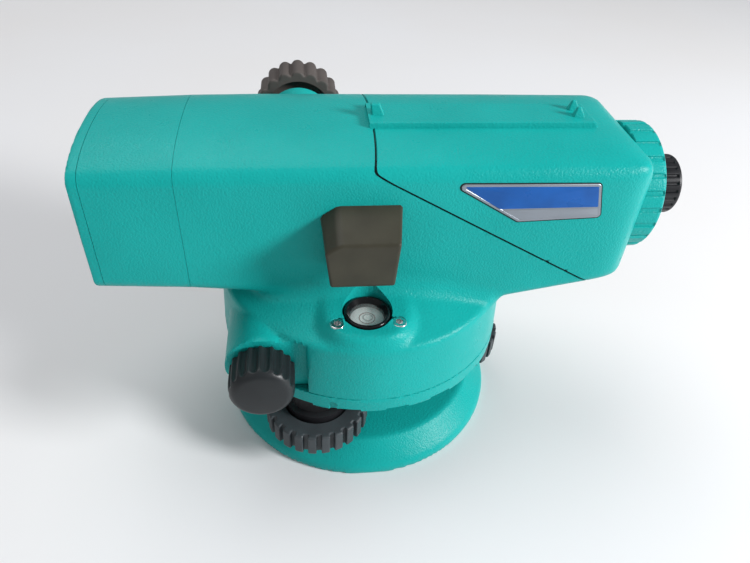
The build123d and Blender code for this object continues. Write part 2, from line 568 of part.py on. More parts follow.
def drive_knob(side):
    """Slow motion knob with grooves that run out before its smooth end."""
    inner, outer = DRIVE_BOSS_Y + 0.5, DRIVE_END_Y
    body = bar_y(DRIVE_KNOB_R, side * inner, side * outer, DRIVE_X, DRIVE_Z)
    rim = body.edges().filter_by(GeomType.CIRCLE).sort_by(Axis.Y)
    body = chamfer(rim[-1] if side > 0 else rim[0], 1.6)
    for k in range(DRIVE_GROOVES):
        a = math.tau * k / DRIVE_GROOVES
        x, z = DRIVE_X + (DRIVE_KNOB_R + 0.3) * math.cos(a), DRIVE_Z + (DRIVE_KNOB_R + 0.3) * math.sin(a)
        body -= bar_y(1.15, side * (inner - 1), side * (outer - 3.6), x, z)
    return body - bar_y(DRIVE_SHAFT_R, side * (inner - 1), side * (outer - 4), DRIVE_X, DRIVE_Z)


# ------------------------------------------------------------------ telescope parts
def front_ring():
    """Front bezel round the objective's opening."""
    body = hood_solid(FRONT_X, RING_SEAM_X)
    return body - bar_x(APERTURE_R + 3.5, FRONT_X - 1, RING_SEAM_X + 1)


def objective_hood():
    """Sun hood between the bezel and the main housing."""
    return hood_solid(RING_SEAM_X, HOOD_SEAM_X) - hood_solid(RING_SEAM_X - 1, HOOD_SEAM_X + 1, 2.5)


def objective_cell():
    """Tube that holds the objective, screwed into the housing's front wall."""
    body = tube_x(APERTURE_R + 3, APERTURE_R + 0.6, RING_SEAM_X + 1, HOOD_SEAM_X + 4)
    body += tube_x(APERTURE_R + 5, APERTURE_R + 2, HOOD_SEAM_X - 2, HOOD_SEAM_X)
    return body + tube_x(APERTURE_R + 1, APERTURE_R - 1.4, -78.0, -77.0)


def objective_lens_front():
    """Front element of the objective."""
    return lens(APERTURE_R + 0.6, -82.0, 2.4, 1.2)


def objective_lens_rear():
    """Rear element of the objective."""
    return lens(APERTURE_R + 0.6, -72.4, 2.2, 1.0)


def guide_rods():
    """Two rods between the front wall and the compensator frame that guide the focusing carriage."""
    return Compound(children=[bar_x(ROD_R, HOOD_SEAM_X + 4, FRAME_X0, 0, AXIS_Z + s * ROD_OFF) for s in (-1, 1)])


FRAME_X0, FRAME_X1 = 2.0, 46.0


def focus_carriage():
    """Sliding tube with lugs for the rods and a shelf for the rack."""
    x0, x1 = -44.0, -22.0
    body = tube_x(CARRIAGE_R, CARRIAGE_R - 2, x0, x1)
    for s in (-1, 1):
        z = AXIS_Z + s * ROD_OFF
        low, high = sorted((AXIS_Z + s * (CARRIAGE_R - 0.6), z))
        body += block(x0, x1, -2.2, 2.2, low, high) + bar_x(3.2, x0, x1, 0, z)
        body -= bar_x(ROD_R + RUN, x0 - 1, x1 + 1, 0, z)
    shelf_z = FOCUS_Z - PINION_TEETH * PINION_MODULE / 2 - 3.6
    return body + (block(x0, -11, 11, 19, shelf_z - 2.4, shelf_z) - bar_x(CARRIAGE_R - 1, x0 - 1, 0))


def focus_rack():
    """Toothed strip on the carriage, meshing under the pinion."""
    pitch_z = FOCUS_Z - PINION_TEETH * PINION_MODULE / 2
    step = math.pi * PINION_MODULE
    tan = math.tan(math.radians(20))
    add, ded = 0.8 * PINION_MODULE, 1.15 * PINION_MODULE
    low = pitch_z - 3.6
    x0, x1 = FOCUS_X - 8 * step, FOCUS_X + 8 * step
    points = [(x0, low), (x0, pitch_z - ded)]
    for k in range(16):
        mid = x0 + (k + 0.5) * step
        half = step / 4 - 0.05
        points += [(mid - half - ded * tan, pitch_z - ded), (mid - half + add * tan, pitch_z + add),
                   (mid + half - add * tan, pitch_z + add), (mid + half + ded * tan, pitch_z - ded)]
    points += [(x1, pitch_z - ded), (x1, low)]
    return prism_y(points, 14, 19)


def focusing_lens():
    """Internal focusing lens, a flat-faced element."""
    return bar_x(CARRIAGE_R - 2, -41, -38)


def focus_shaft():
    """Shaft with its pinion, turned by the focusing knob."""
    plane = Plane(origin=(FOCUS_X, 14, FOCUS_Z), x_dir=(1, 0, 0), z_dir=(0, -1, 0))
    outline = make_face(Polyline(*gear_points(PINION_TEETH, PINION_MODULE, 0.1, turn=-90), close=True))
    pinion = extrude(plane * outline, amount=-5)
    return pinion + bar_y(2.5, 19, FOCUS_KNOB_Y1 - 4, FOCUS_X, FOCUS_Z)


def focus_bush():
    """Flanged bush through the far wall for the focusing shaft."""
    body = bar_y(6.5, 24, FOCUS_KNOB_Y0 - 4, FOCUS_X, FOCUS_Z)
    body += bar_y(9, FOCUS_KNOB_Y0 - 4, FOCUS_KNOB_Y0 - 2.6, FOCUS_X, FOCUS_Z)
    return body - bar_y(2.5 + RUN, 20, FOCUS_KNOB_Y0, FOCUS_X, FOCUS_Z)


def focus_knob():
    """Lobed focusing knob, hollow behind, pressed on its shaft."""
    outline = Circle(FOCUS_KNOB_R - 1.2)
    for k in range(FOCUS_LOBES):
        outline += Rot(0, 0, 360 * k / FOCUS_LOBES) * Pos(FOCUS_KNOB_R - 2.0, 0) * Circle(2.0)
    plane = Plane(origin=(FOCUS_X, FOCUS_KNOB_Y0, FOCUS_Z), x_dir=(1, 0, 0), z_dir=(0, 1, 0))
    body = extrude(plane * outline, amount=FOCUS_KNOB_Y1 - FOCUS_KNOB_Y0)
    taper = Plane(origin=(FOCUS_X, 0, FOCUS_Z), x_dir=(1, 0, 0), z_dir=(0, 1, 0))
    r = FOCUS_KNOB_R
    shape = make_face(Polyline((0, FOCUS_KNOB_Y0), (r, FOCUS_KNOB_Y0), (r, FOCUS_KNOB_Y1 - 1.5),
                               (r - 1.5, FOCUS_KNOB_Y1), (0, FOCUS_KNOB_Y1), close=True))
    body &= Pos(FOCUS_X, 0, FOCUS_Z) * revolve(shape, Axis.Y)
    body -= bar_y(13.6, FOCUS_KNOB_Y0 - 1, FOCUS_KNOB_Y0 + 5, FOCUS_X, FOCUS_Z)
    body += bar_y(5, FOCUS_KNOB_Y0 - 1.5, FOCUS_KNOB_Y1 - 2, FOCUS_X, FOCUS_Z)
    return body - bar_y(2.5, FOCUS_KNOB_Y0 - 3, FOCUS_KNOB_Y1 - 4, FOCUS_X, FOCUS_Z)


# ------------------------------------------------------------------ compensator
def compensator_frame():
    """Cradle of the compensator: end plates with a light path, side rails and the tapes' cross bar."""
    body = block(FRAME_X0, FRAME_X1, -21, 21, FLOOR_Z, FLOOR_Z + 5)
    for x0 in (FRAME_X0, FRAME_X1 - 3):
        body += block(x0, x0 + 3, -21, 21, FLOOR_Z, AXIS_Z + 20) - bar_x(11, x0 - 1, x0 + 4)
    body += block(FRAME_X0, FRAME_X1, -21, -18.5, AXIS_Z + 15, AXIS_Z + 20)
    body += block(FRAME_X0, FRAME_X1, 18.5, 21, AXIS_Z + 15, AXIS_Z + 20)
    middle = (FRAME_X0 + FRAME_X1) / 2
    body += block(middle - 2.5, middle + 2.5, -21, 21, AXIS_Z + 17, AXIS_Z + 20)
    for x0 in (FRAME_X0 + 3, FRAME_X1 - 13):
        body += block(x0, x0 + 10, -21, 21, FLOOR_Z + 5, AXIS_Z - 9)
    for x, y in flange_spots():
        body -= disc(3.4, FLOOR_Z - 1, FLOOR_Z + 4, x, y)
    return body


def fixed_prisms():
    """Two roofed reflectors on the cradle, one before and one behind the pendulum."""
    first = prism_y([(FRAME_X0 + 3.5, AXIS_Z - 9), (FRAME_X0 + 12.5, AXIS_Z - 9), (FRAME_X0 + 3.5, AXIS_Z + 9)], -9, 9)
    last = prism_y([(FRAME_X1 - 3.5, AXIS_Z - 9), (FRAME_X1 - 12.5, AXIS_Z - 9), (FRAME_X1 - 3.5, AXIS_Z + 9)], -9, 9)
    return Compound(children=[first, last])


PIVOT_X, PIVOT_Z = (FRAME_X0 + FRAME_X1) / 2, AXIS_Z + 14.0


def pendulum():
    """Hanging arm of the compensator with its damping vane."""
    body = block(PIVOT_X - 4, PIVOT_X + 4, -15, 15, PIVOT_Z - 4, PIVOT_Z - 1.5)
    for s in (-1, 1):
        y0, y1 = sorted((s * 12.5, s * 15))
        body += block(PIVOT_X - 4, PIVOT_X + 4, y0, y1, AXIS_Z - 12, PIVOT_Z - 3)
    body += block(PIVOT_X - 4, PIVOT_X + 4, -15, 15, AXIS_Z - 12, AXIS_Z - 9)
    return body + block(PIVOT_X - 1, PIVOT_X + 1, -8, 8, FLOOR_Z + 8, AXIS_Z - 12)


def pendulum_prism():
    """Reflecting prism carried by the pendulum."""
    z0 = AXIS_Z - 9
    return prism_y([(PIVOT_X - 4, z0), (PIVOT_X + 4, z0), (PIVOT_X, z0 + 14)], -12.5, 12.5)


def suspension_tapes():
    """Four thin metal tapes that hang the pendulum from the cradle's cross bar."""
    parts = []
    for y in (-11, 11):
        for s in (-1, 1):
            parts.append(block(PIVOT_X + s * 1.6 - 0.1, PIVOT_X + s * 1.6 + 0.1, y - 1.2, y + 1.2, PIVOT_Z - 1.2, AXIS_Z + 17))
    return Compound(children=parts)


def damper_magnets():
    """Pair of magnets either side of the damping vane."""
    return Compound(children=[block(PIVOT_X + s * 5 - 2.5, PIVOT_X + s * 5 + 2.5, -7, 7, FLOOR_Z + 5, FLOOR_Z + 14)
                              for s in (-1, 1)])


# ------------------------------------------------------------------ eyepiece
def reticle_mount():
    """Flanged tube in the rear wall: carries the reticle and guides the eyepiece."""
    wall = REAR_X - SHELL
    body = bar_x(TUBE_R, wall - 18, REAR_X + 6.6) + bar_x(TUBE_R + 2.5, wall - 9.5, wall - 6.2)
    body -= bar_x(BARREL_R + RUN, wall - 8, REAR_X + 10) + bar_x(7.0, wall - 20, wall)
    body -= bar_x(8.5, wall - 15.5, wall - 8)
    for x, y, z in reticle_spots():
        body -= radial(x, y, z, 1.0, 8.0, TUBE_R + 1)
    return body


def reticle_x():
    """Station of the reticle's adjusting screws."""
    return REAR_X - SHELL - 14.0


def reticle_spots():
    """Directions of the four reticle screws."""
    return [(reticle_x(), math.cos(a), math.sin(a)) for a in (math.pi / 4 + k * math.pi / 2 for k in range(4))]


def radial(x, y, z, radius, r0, r1):
    """Round bar pointing outwards from the optical axis in direction (y, z)."""
    turn = math.degrees(math.atan2(z, y))
    bar = Pos(x, (r0 + r1) / 2, 0) * Rot(90, 0, 0) * Cylinder(radius, r1 - r0)
    return Pos(0, 0, AXIS_Z) * Rot(turn, 0, 0) * bar


def reticle_disc():
    """Glass disc with the cross lines."""
    return bar_x(8.0, reticle_x() - 0.8, reticle_x() + 0.8)


def reticle_screws():
    """Four radial screws that centre the reticle."""
    return Compound(children=[radial(x, y, z, 1.0, 8.1, TUBE_R + 0.4) for x, y, z in reticle_spots()])


def eyepiece_collar():
    """Notched cover ring screwed on the tube in front of the rear wall."""
    x0, x1 = REAR_X + 0.2, REAR_X + 7.4
    profile = [(TUBE_R, x0), (COLLAR_R, x0), (COLLAR_R, x0 + 4.2), (COLLAR_R - 3.5, x0 + 6.2), (TUBE_R, x1)]
    body = Pos(0, 0, AXIS_Z) * Rot(0, 90, 0) * turned(profile)
    for k in range(24):
        notch = Pos(0, 0, AXIS_Z) * Rot(360 * k / 24, 0, 0) * Pos(x0 + 2, COLLAR_R + 0.5, 0) * Box(6, 2.4, 1.6)
        body -= notch
    return body


def eyepiece_barrel():
    """Sliding tube that carries the eyepiece lenses."""
    x0, x1 = REAR_X - 8.5, DIOPTRE_X1 - 1.6
    body = tube_x(BARREL_R, 7.4, x0, x1)
    return body - bar_x(8.0, x1 - 5, x1 + 1) - bar_x(8.0, x0 - 1, x0 + 5)


def eyepiece_lenses():
    """Eye lens and field lens."""
    x0, x1 = REAR_X - 8.5, DIOPTRE_X1 - 1.6
    return Compound(children=[bar_x(8.0, x1 - 5, x1 - 1.5), bar_x(8.0, x0 + 1.5, x0 + 5)])


def dioptre_ring():
    """Grooved focusing ring round the eyepiece barrel."""
    body = tube_x(DIOPTRE_R, BARREL_R + RUN, DIOPTRE_X0, DIOPTRE_X1)
    body -= bar_x(7.6, DIOPTRE_X1 - 1, DIOPTRE_X1 + 1)
    lip = tube_x(BARREL_R + 0.5, 7.6, DIOPTRE_X1 - 1.2, DIOPTRE_X1 - 0.2)
    body += lip
    for k in range(30):
        body -= Pos(0, 0, AXIS_Z) * Rot(12 * k, 0, 0) * Pos(DIOPTRE_X0 + 4.6, DIOPTRE_R, 0) * Box(7.4, 1.0, 1.0)
    return body


# ------------------------------------------------------------------ write the files
def parts():
    """Every sub-part by node name."""
    made = {
        "base_plate": base_plate(), "spring_plate": spring_plate(), "spring_plate_screws": spring_plate_screws(),
        "dust_sleeves": dust_sleeves(), "levelling_head": levelling_head(), "levelling_nuts": levelling_nuts(),
        "circle_ring": circle_ring(), "circle_scale": circle_scale(),
        "worm_wheel": worm_wheel(), "clutch_spring": clutch_spring(), "clutch_clip": clutch_clip(),
        "spindle_bush": spindle_bush(), "spindle": spindle(), "spindle_nut": spindle_nut(),
        "spindle_screws": spindle_screws(), "main_housing": main_housing(), "circle_window": circle_window(),
        "rear_cover": rear_cover(), "rear_gasket": rear_gasket(), "name_plate": name_plate(),
        "mirror_housing": mirror_housing(), "bubble_mirror": bubble_mirror(), "level_case": level_case(),
        "level_vial": level_vial(), "level_screws": level_screws(),
        "worm_shaft": worm_shaft(), "worm_bushes": worm_bushes(), "drive_knob_near": drive_knob(-1),
        "drive_knob_far": drive_knob(1), "front_ring": front_ring(), "objective_hood": objective_hood(),
        "objective_cell": objective_cell(), "objective_lens_front": objective_lens_front(),
        "objective_lens_rear": objective_lens_rear(),
        "guide_rods": guide_rods(), "focus_carriage": focus_carriage(), "focus_rack": focus_rack(),
        "focusing_lens": focusing_lens(), "focus_shaft": focus_shaft(), "focus_bush": focus_bush(),
        "focus_knob": focus_knob(), "compensator_frame": compensator_frame(), "fixed_prisms": fixed_prisms(),
        "pendulum": pendulum(), "pendulum_prism": pendulum_prism(), "suspension_tapes": suspension_tapes(),
        "damper_magnets": damper_magnets(), "reticle_mount": reticle_mount(), "reticle_disc": reticle_disc(),
        "reticle_screws": reticle_screws(), "eyepiece_collar": eyepiece_collar(),
        "eyepiece_barrel": eyepiece_barrel(), "eyepiece_lenses": eyepiece_lenses(), "dioptre_ring": dioptre_ring(),
    }
    return made


def screws():
    """The three levelling screws and their knobs by node name."""
    made = {}
    for name, (x, y) in zip(SCREW_NAMES, spots()):
        made[f"levelling_screw_{name}"] = levelling_screw(x, y)
        made[f"levelling_knob_{name}"] = levelling_knob(x, y)
    return made


def main():
    """Write one file per sub-part."""
    os.makedirs("parts", exist_ok=True)
    for name, shape in (parts() | screws()).items():
        export_step(shape, f"parts/{name}.step")
        print(f"{name:24s} volume {shape.volume:10.1f}  faces {len(shape.faces())}")


if __name__ == "__main__":
    main()
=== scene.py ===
import json
import math

import bpy
import numpy as np
from bpy.props import FloatProperty, FloatVectorProperty, PointerProperty
from mathutils import Matrix, Vector


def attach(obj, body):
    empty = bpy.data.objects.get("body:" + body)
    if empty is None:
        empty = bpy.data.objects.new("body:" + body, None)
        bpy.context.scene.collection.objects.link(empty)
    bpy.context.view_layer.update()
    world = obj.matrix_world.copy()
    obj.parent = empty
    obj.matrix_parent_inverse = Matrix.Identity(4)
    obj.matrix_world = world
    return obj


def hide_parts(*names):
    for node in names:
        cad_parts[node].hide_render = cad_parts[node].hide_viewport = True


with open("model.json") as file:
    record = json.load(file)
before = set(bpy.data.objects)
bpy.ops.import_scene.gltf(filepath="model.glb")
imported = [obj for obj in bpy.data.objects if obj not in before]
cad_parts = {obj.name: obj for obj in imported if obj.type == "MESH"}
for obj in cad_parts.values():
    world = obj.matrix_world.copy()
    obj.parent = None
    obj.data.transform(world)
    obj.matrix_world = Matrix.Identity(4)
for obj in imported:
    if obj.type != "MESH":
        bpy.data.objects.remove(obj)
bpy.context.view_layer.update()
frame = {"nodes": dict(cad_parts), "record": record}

bl_info = {
    "name": "Automatic level",
    "version": (1, 0, 0),
    "blender": (4, 5, 0),
    "location": "View3D > Sidebar > Level",
    "description": "Builds the visible skin of an automatic level round its fixed frame",
    "category": "Add Mesh",
}

MM = 0.001


# ------------------------------------------------------------------ settings
class LevelSizes(bpy.types.PropertyGroup):
    """Sizes a user may change, in millimetres unless a unit says otherwise."""

    lattice: FloatProperty(name="Lattice", description="Lattice step of the castings in mm", default=1.15,
        min=0.6, max=3)
    fine: FloatProperty(name="Fine lattice", description="Lattice step of the knobs in mm", default=0.45,
        min=0.25, max=2)
    blend: FloatProperty(name="Casting fillet", description="Fillet between barrel and round housing in mm",
        default=6.0, min=0.5, max=12)
    grain: FloatProperty(name="Paint grain", description="Pitch of the paint's fine texture in mm",
        default=0.72, min=0.2, max=4)


class LevelColours(bpy.types.PropertyGroup):
    """Finishes a user may change, as linear colours."""

    paint: FloatVectorProperty(name="Paint", description="Green paint of the castings", subtype="COLOR", size=3,
                               default=(0.006, 0.372, 0.345), min=0, max=1)
    knob: FloatVectorProperty(name="Knobs", description="Dark plastic of the drive and levelling knobs",
        subtype="COLOR",
                              size=3, default=(0.050, 0.060, 0.066), min=0, max=1)
    focus: FloatVectorProperty(name="Focusing knob", description="Brown grey plastic of the focusing knob",
                               subtype="COLOR", size=3, default=(0.085, 0.072, 0.066), min=0, max=1)
    mirror: FloatVectorProperty(name="Mirror hood", description="Olive plastic of the mirror hood", subtype="COLOR",
                                size=3, default=(0.042, 0.039, 0.025), min=0, max=1)
    plate: FloatVectorProperty(name="Plate", description="Blue of the bare plate", subtype="COLOR", size=3,
                               default=(0.0005, 0.088, 0.36), min=0, max=1)


def sizes():
    return bpy.context.scene.level_sizes


def colours():
    return bpy.context.scene.level_colours


# ------------------------------------------------------------------ fields: distances in mm, negative inside
def cross(a, b, r):
    """Intersection of two fields with its edge rounded to radius r: beyond -r of both, the distance to the
    rounding circle."""
    u, v = np.maximum(r + a, 0), np.maximum(r + b, 0)
    return np.minimum(-r, np.maximum(a, b)) + np.hypot(u, v)


def join(a, b, r):
    """Union of two fields with the inner corner filled to radius r, the mirror image of cross."""
    u, v = np.maximum(r - a, 0), np.maximum(r - b, 0)
    return np.maximum(r, np.minimum(a, b)) - np.hypot(u, v)


def bar(p, axis, at, radius):
    """Endless round bar along an axis through the point at: distance from the axis line less the radius."""
    i, j = [k for k in range(3) if k != axis]
    return np.hypot(p[..., i] - at[i], p[..., j] - at[j]) - radius


def between(p, axis, low, high):
    """Slab between two heights along an axis: the larger of the two signed distances."""
    return np.maximum(low - p[..., axis], p[..., axis] - high)


def crate(p, low, high, r=0.0):
    """Box between two corners with its edges rounded to r: slabs crossed one after another."""
    f = between(p, 0, low[0], high[0])
    for k in (1, 2):
        g = between(p, k, low[k], high[k])
        f = cross(f, g, r) if r else np.maximum(f, g)
    return f


def slope(p, point, normal):
    """Half space behind a plane: signed distance to the plane along its unit normal."""
    n = np.asarray(normal, float)
    n = n / np.linalg.norm(n)
    return (p - np.asarray(point, float)) @ n


def skin_points(parts, low, high, step):
    """Skin of the solid where every field of parts is negative. A lattice of the given step is sampled; each cell the
    skin crosses gets one point, the mean of the crossings on its edges, and each crossed lattice edge a face joining
    the four cells round it. Newton steps then pull every point on to all the fields that are nearly highest there,
    so that edges where two or three fields meet come out sharp."""
    low, high = np.asarray(low, float), np.asarray(high, float)
    count = np.ceil((high - low) / step).astype(int) + 1
    ticks = [low[k] + step * np.arange(count[k]) for k in range(3)]
    grid = np.stack(np.meshgrid(*ticks, indexing="ij"), -1)
    f = np.maximum.reduce(parts(grid))
    inside = f < 0
    cells = tuple(count - 1)
    total, hits = np.zeros(cells + (3,)), np.zeros(cells)
    edges = []
    for k in range(3):
        a, b = np.take(f, range(count[k] - 1), k), np.take(f, range(1, count[k]), k)
        crossed = (a < 0) != (b < 0)
        with np.errstate(all="ignore"):
            t = np.where(crossed, a / (a - b), 0)
        place = np.take(grid, range(count[k] - 1), k).copy()
        place[..., k] += t * step
        i, j = [m for m in range(3) if m != k]
        for di in (0, 1):
            for dj in (0, 1):
                cut = [slice(None)] * 3
                cut[i], cut[j] = slice(di, di + cells[i]), slice(dj, dj + cells[j])
                total += np.where(crossed[tuple(cut)][..., None], place[tuple(cut)], 0)
                hits += crossed[tuple(cut)]
        edges.append(crossed)
    alive = hits > 0
    number = np.full(cells, -1)
    number[alive] = np.arange(alive.sum())
    points = total[alive] / hits[alive][:, None]
    home = points.copy()
    faces = []
    for k in range(3):
        i, j = [m for m in range(3) if m != k]
        cut = [slice(None)] * 3
        cut[i], cut[j] = slice(1, cells[i]), slice(1, cells[j])
        where = np.argwhere(edges[k][tuple(cut)])
        where[:, i] += 1
        where[:, j] += 1
        ring = []
        for di, dj in ((-1, -1), (0, -1), (0, 0), (-1, 0)):
            at = where.copy()
            at[:, i] += di
            at[:, j] += dj
            ring.append(number[at[:, 0], at[:, 1], at[:, 2]])
        quad = np.stack(ring, 1)
        out = inside[where[:, 0], where[:, 1], where[:, 2]]
        if k == 1:
            out = ~out
        faces.append(np.where(out[:, None], quad, quad[:, ::-1]))
    faces = np.concatenate(faces)
    for reach in (0.75, 0.6, 0.6, 0.6):
        points = pulled(parts, points, reach * step)
        points = home + np.clip(points - home, -0.9 * step, 0.9 * step)
    return points, faces


def pulled(parts, points, reach):
    """One Newton step on to every field within reach of the highest: the shortest move that zeroes them
    together."""
    value = np.stack(parts(points), 1)
    e = 1e-3
    slopes = []
    for k in range(3):
        shift = np.zeros(3)
        shift[k] = e
        slopes.append((np.stack(parts(points + shift), 1) - np.stack(parts(points - shift), 1)) / (2 * e))
    jac = np.stack(slopes, 2)
    used = (value > value.max(1, keepdims=True) - reach) & (np.abs(value) < 2 * reach + 0.5)
    used[np.arange(len(points)), value.argmax(1)] = True
    jac = jac * used[..., None]
    size = value.shape[1]
    normal = jac @ jac.transpose(0, 2, 1) + np.eye(size) * 2e-3 + (~used)[..., None] * np.eye(size)
    pull = np.linalg.solve(normal, (value * used)[..., None])
    return points - (jac.transpose(0, 2, 1) @ pull)[..., 0]


def piece(name, points, faces, body, material, stands_for=(), angle=32):
    """New object at the origin from points in mm and faces, smooth but for edges sharper than the angle."""
    mesh = bpy.data.meshes.new(name)
    mesh.from_pydata((np.asarray(points) * MM).tolist(), [], np.asarray(faces).tolist() if len(faces) else [])
    mesh.validate()
    mesh.shade_smooth()
    mesh.set_sharp_from_angle(angle=math.radians(angle))
    mesh.materials.append(material)
    made = bpy.data.objects.new(name, mesh)
    bpy.context.scene.collection.objects.link(made)
    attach(made, body)
    if stands_for:
        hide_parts(*stands_for)
    return made


def cast(name, parts, low, high, step, body, material, stands_for=(), angle=32):
    """Piece from fields."""
    points, faces = skin_points(parts, low, high, step)
    return piece(name, points, faces, body, material, stands_for, angle)


def sheet_faces(rows, columns, wrap):
    """Faces of a grid of points, row after row; wrap joins the last column to the first."""
    last = columns if wrap else columns - 1
    i, j = np.meshgrid(np.arange(rows - 1), np.arange(last), indexing="ij")
    a = i * columns + j
    b = i * columns + (j + 1) % columns
    return np.stack([a, b, b + columns, a + columns], -1).reshape(-1, 4)


def turned(profile, at, axis, around=128):
    """Points and faces of a closed profile of (radius, height) carried round an axis through at; the profile's
    angle runs round the axis, its radius outwards and its height along it."""
    profile = np.asarray(profile, float)
    profile = np.concatenate([profile, profile[:1]])
    a = np.linspace(0, math.tau, around, endpoint=False)
    r, h = profile[:, 0][:, None], profile[:, 1][:, None]
    i, j = [(1, 2), (2, 0), (0, 1)][axis]
    points = np.zeros((len(profile), around, 3))
    points[..., i] = at[i] + r * np.cos(a)
    points[..., j] = at[j] + r * np.sin(a)
    points[..., axis] = at[axis] + h
    faces = sheet_faces(len(profile), around, True)
    count = (len(profile) - 1) * around
    return points.reshape(-1, 3)[:count], faces % count


# ------------------------------------------------------------------ materials
def new_material(name, colour, roughness, metallic=0.0):
    """Material with a principled shader and Object coordinates; returns its tree and main nodes."""
    material = bpy.data.materials.new(name)
    material.use_nodes = True
    tree = material.node_tree
    shader = next(n for n in tree.nodes if n.type == "BSDF_PRINCIPLED")
    shader.inputs["Base Color"].default_value = (*colour, 1)
    shader.inputs["Specular IOR Level"].default_value = 0.3
    shader.inputs["Roughness"].default_value = roughness
    shader.inputs["Metallic"].default_value = metallic
    place = tree.nodes.new("ShaderNodeTexCoord")
    return material, tree, shader, place.outputs["Object"]


def noise(tree, place, scale, detail=3.0, roughness=0.5):
    """Noise of a given number of features per metre."""
    node = tree.nodes.new("ShaderNodeTexNoise")
    node.inputs["Scale"].default_value = scale
    node.inputs["Detail"].default_value = detail
    node.inputs["Roughness"].default_value = roughness
    tree.links.new(place, node.inputs["Vector"])
    return node.outputs["Fac"]


def spread(tree, value, low, high, from_low=0.3, from_high=0.7):
    """Value mapped on to a range."""
    node = tree.nodes.new("ShaderNodeMapRange")
    for key, number in (("From Min", from_low), ("From Max", from_high), ("To Min", low), ("To Max", high)):
        node.inputs[key].default_value = number
    tree.links.new(value, node.inputs["Value"])
    return node.outputs["Result"]


def tint(tree, value, first, second):
    """Two colours mixed by a value."""
    node = tree.nodes.new("ShaderNodeMix")
    node.data_type = "RGBA"
    node.inputs["A"].default_value = (*first, 1)
    node.inputs["B"].default_value = (*second, 1)
    tree.links.new(value, node.inputs["Factor"])
    return node.outputs["Result"]


def bump(tree, shader, height, distance, strength=1.0):
    """Bump in metres from a height value."""
    node = tree.nodes.new("ShaderNodeBump")
    node.inputs["Distance"].default_value = distance
    node.inputs["Strength"].default_value = strength
    tree.links.new(height, node.inputs["Height"])
    tree.links.new(node.outputs["Normal"], shader.inputs["Normal"])


def textured_paint(name, colour, grain, rough=(0.27, 0.38), depth=0.0002):
    """Fine leather-grain paint: cells of the given pitch stand proud, larger noise varies tone and gloss."""
    material, tree, shader, place = new_material(name, colour, rough[0])
    cells = tree.nodes.new("ShaderNodeTexNoise")
    cells.inputs["Scale"].default_value = 1 / (grain * MM)
    cells.inputs["Detail"].default_value = 2.5
    shader.inputs["Specular IOR Level"].default_value = 0.14
    tree.links.new(place, cells.inputs["Vector"])
    bump(tree, shader, cells.outputs["Fac"], depth)
    broad = noise(tree, place, 28.0, 4.0)
    dark = tuple(c * 0.93 for c in colour)
    pale = tuple(min(1.0, c * 1.06 + 0.002) for c in colour)
    tree.links.new(tint(tree, spread(tree, broad, 0, 1), dark, pale), shader.inputs["Base Color"])
    tree.links.new(spread(tree, noise(tree, place, 160.0, 5.0), *rough), shader.inputs["Roughness"])
    return material


def moulded(name, colour, rough=(0.42, 0.6), grain=0.5, depth=0.00002):
    """Moulded plastic: faint spark-eroded grain, small tone variation, dull patches from handling."""
    material, tree, shader, place = new_material(name, colour, rough[0])
    bump(tree, shader, noise(tree, place, 1 / (grain * MM), 2.0), depth)
    dark = tuple(c * 0.85 for c in colour)
    pale = tuple(min(1.0, c * 1.15 + 0.001) for c in colour)
    tree.links.new(tint(tree, spread(tree, noise(tree, place, 90.0, 4.0), 0, 1), dark, pale),
        shader.inputs["Base Color"])
    tree.links.new(spread(tree, noise(tree, place, 60.0, 5.0), *rough), shader.inputs["Roughness"])
    return material


def metal(name, colour, rough=(0.25, 0.4), stretch=(1, 1, 1), lines=900.0):
    """Machined metal: fine noise, stretched along the cut, varies gloss and relief."""
    material, tree, shader, place = new_material(name, colour, rough[0], 1.0)
    move = tree.nodes.new("ShaderNodeMapping")
    move.inputs["Scale"].default_value = stretch
    tree.links.new(place, move.inputs["Vector"])
    fine = noise(tree, move.outputs["Vector"], lines, 3.0)
    tree.links.new(spread(tree, fine, *rough), shader.inputs["Roughness"])
    bump(tree, shader, fine, 0.000004)
    dark = tuple(c * 0.9 for c in colour)
    tree.links.new(tint(tree, spread(tree, noise(tree, place, 70.0, 4.0), 0, 1), dark, colour),
        shader.inputs["Base Color"])
    return material


def glass(name, colour, rough=0.02):
    """Clear optical glass with a faint smear in its gloss."""
    material, tree, shader, place = new_material(name, colour, rough)
    shader.inputs["Transmission Weight"].default_value = 1.0
    shader.inputs["IOR"].default_value = 1.5
    tree.links.new(spread(tree, noise(tree, place, 120.0, 3.0), rough, rough + 0.04), shader.inputs["Roughness"])
    return material


def thin_clear(name):
    """Clear cover so thin that light passes straight through it: mostly transparent, its gloss slightly uneven."""
    material, tree, shader, place = new_material(name, (0.9, 0.92, 0.9), 0.05)
    shader.inputs["Alpha"].default_value = 0.16
    shader.inputs["Specular IOR Level"].default_value = 0.5
    tree.links.new(spread(tree, noise(tree, place, 300.0, 3.0), 0.03, 0.1), shader.inputs["Roughness"])
    return material


FINISHES = {}


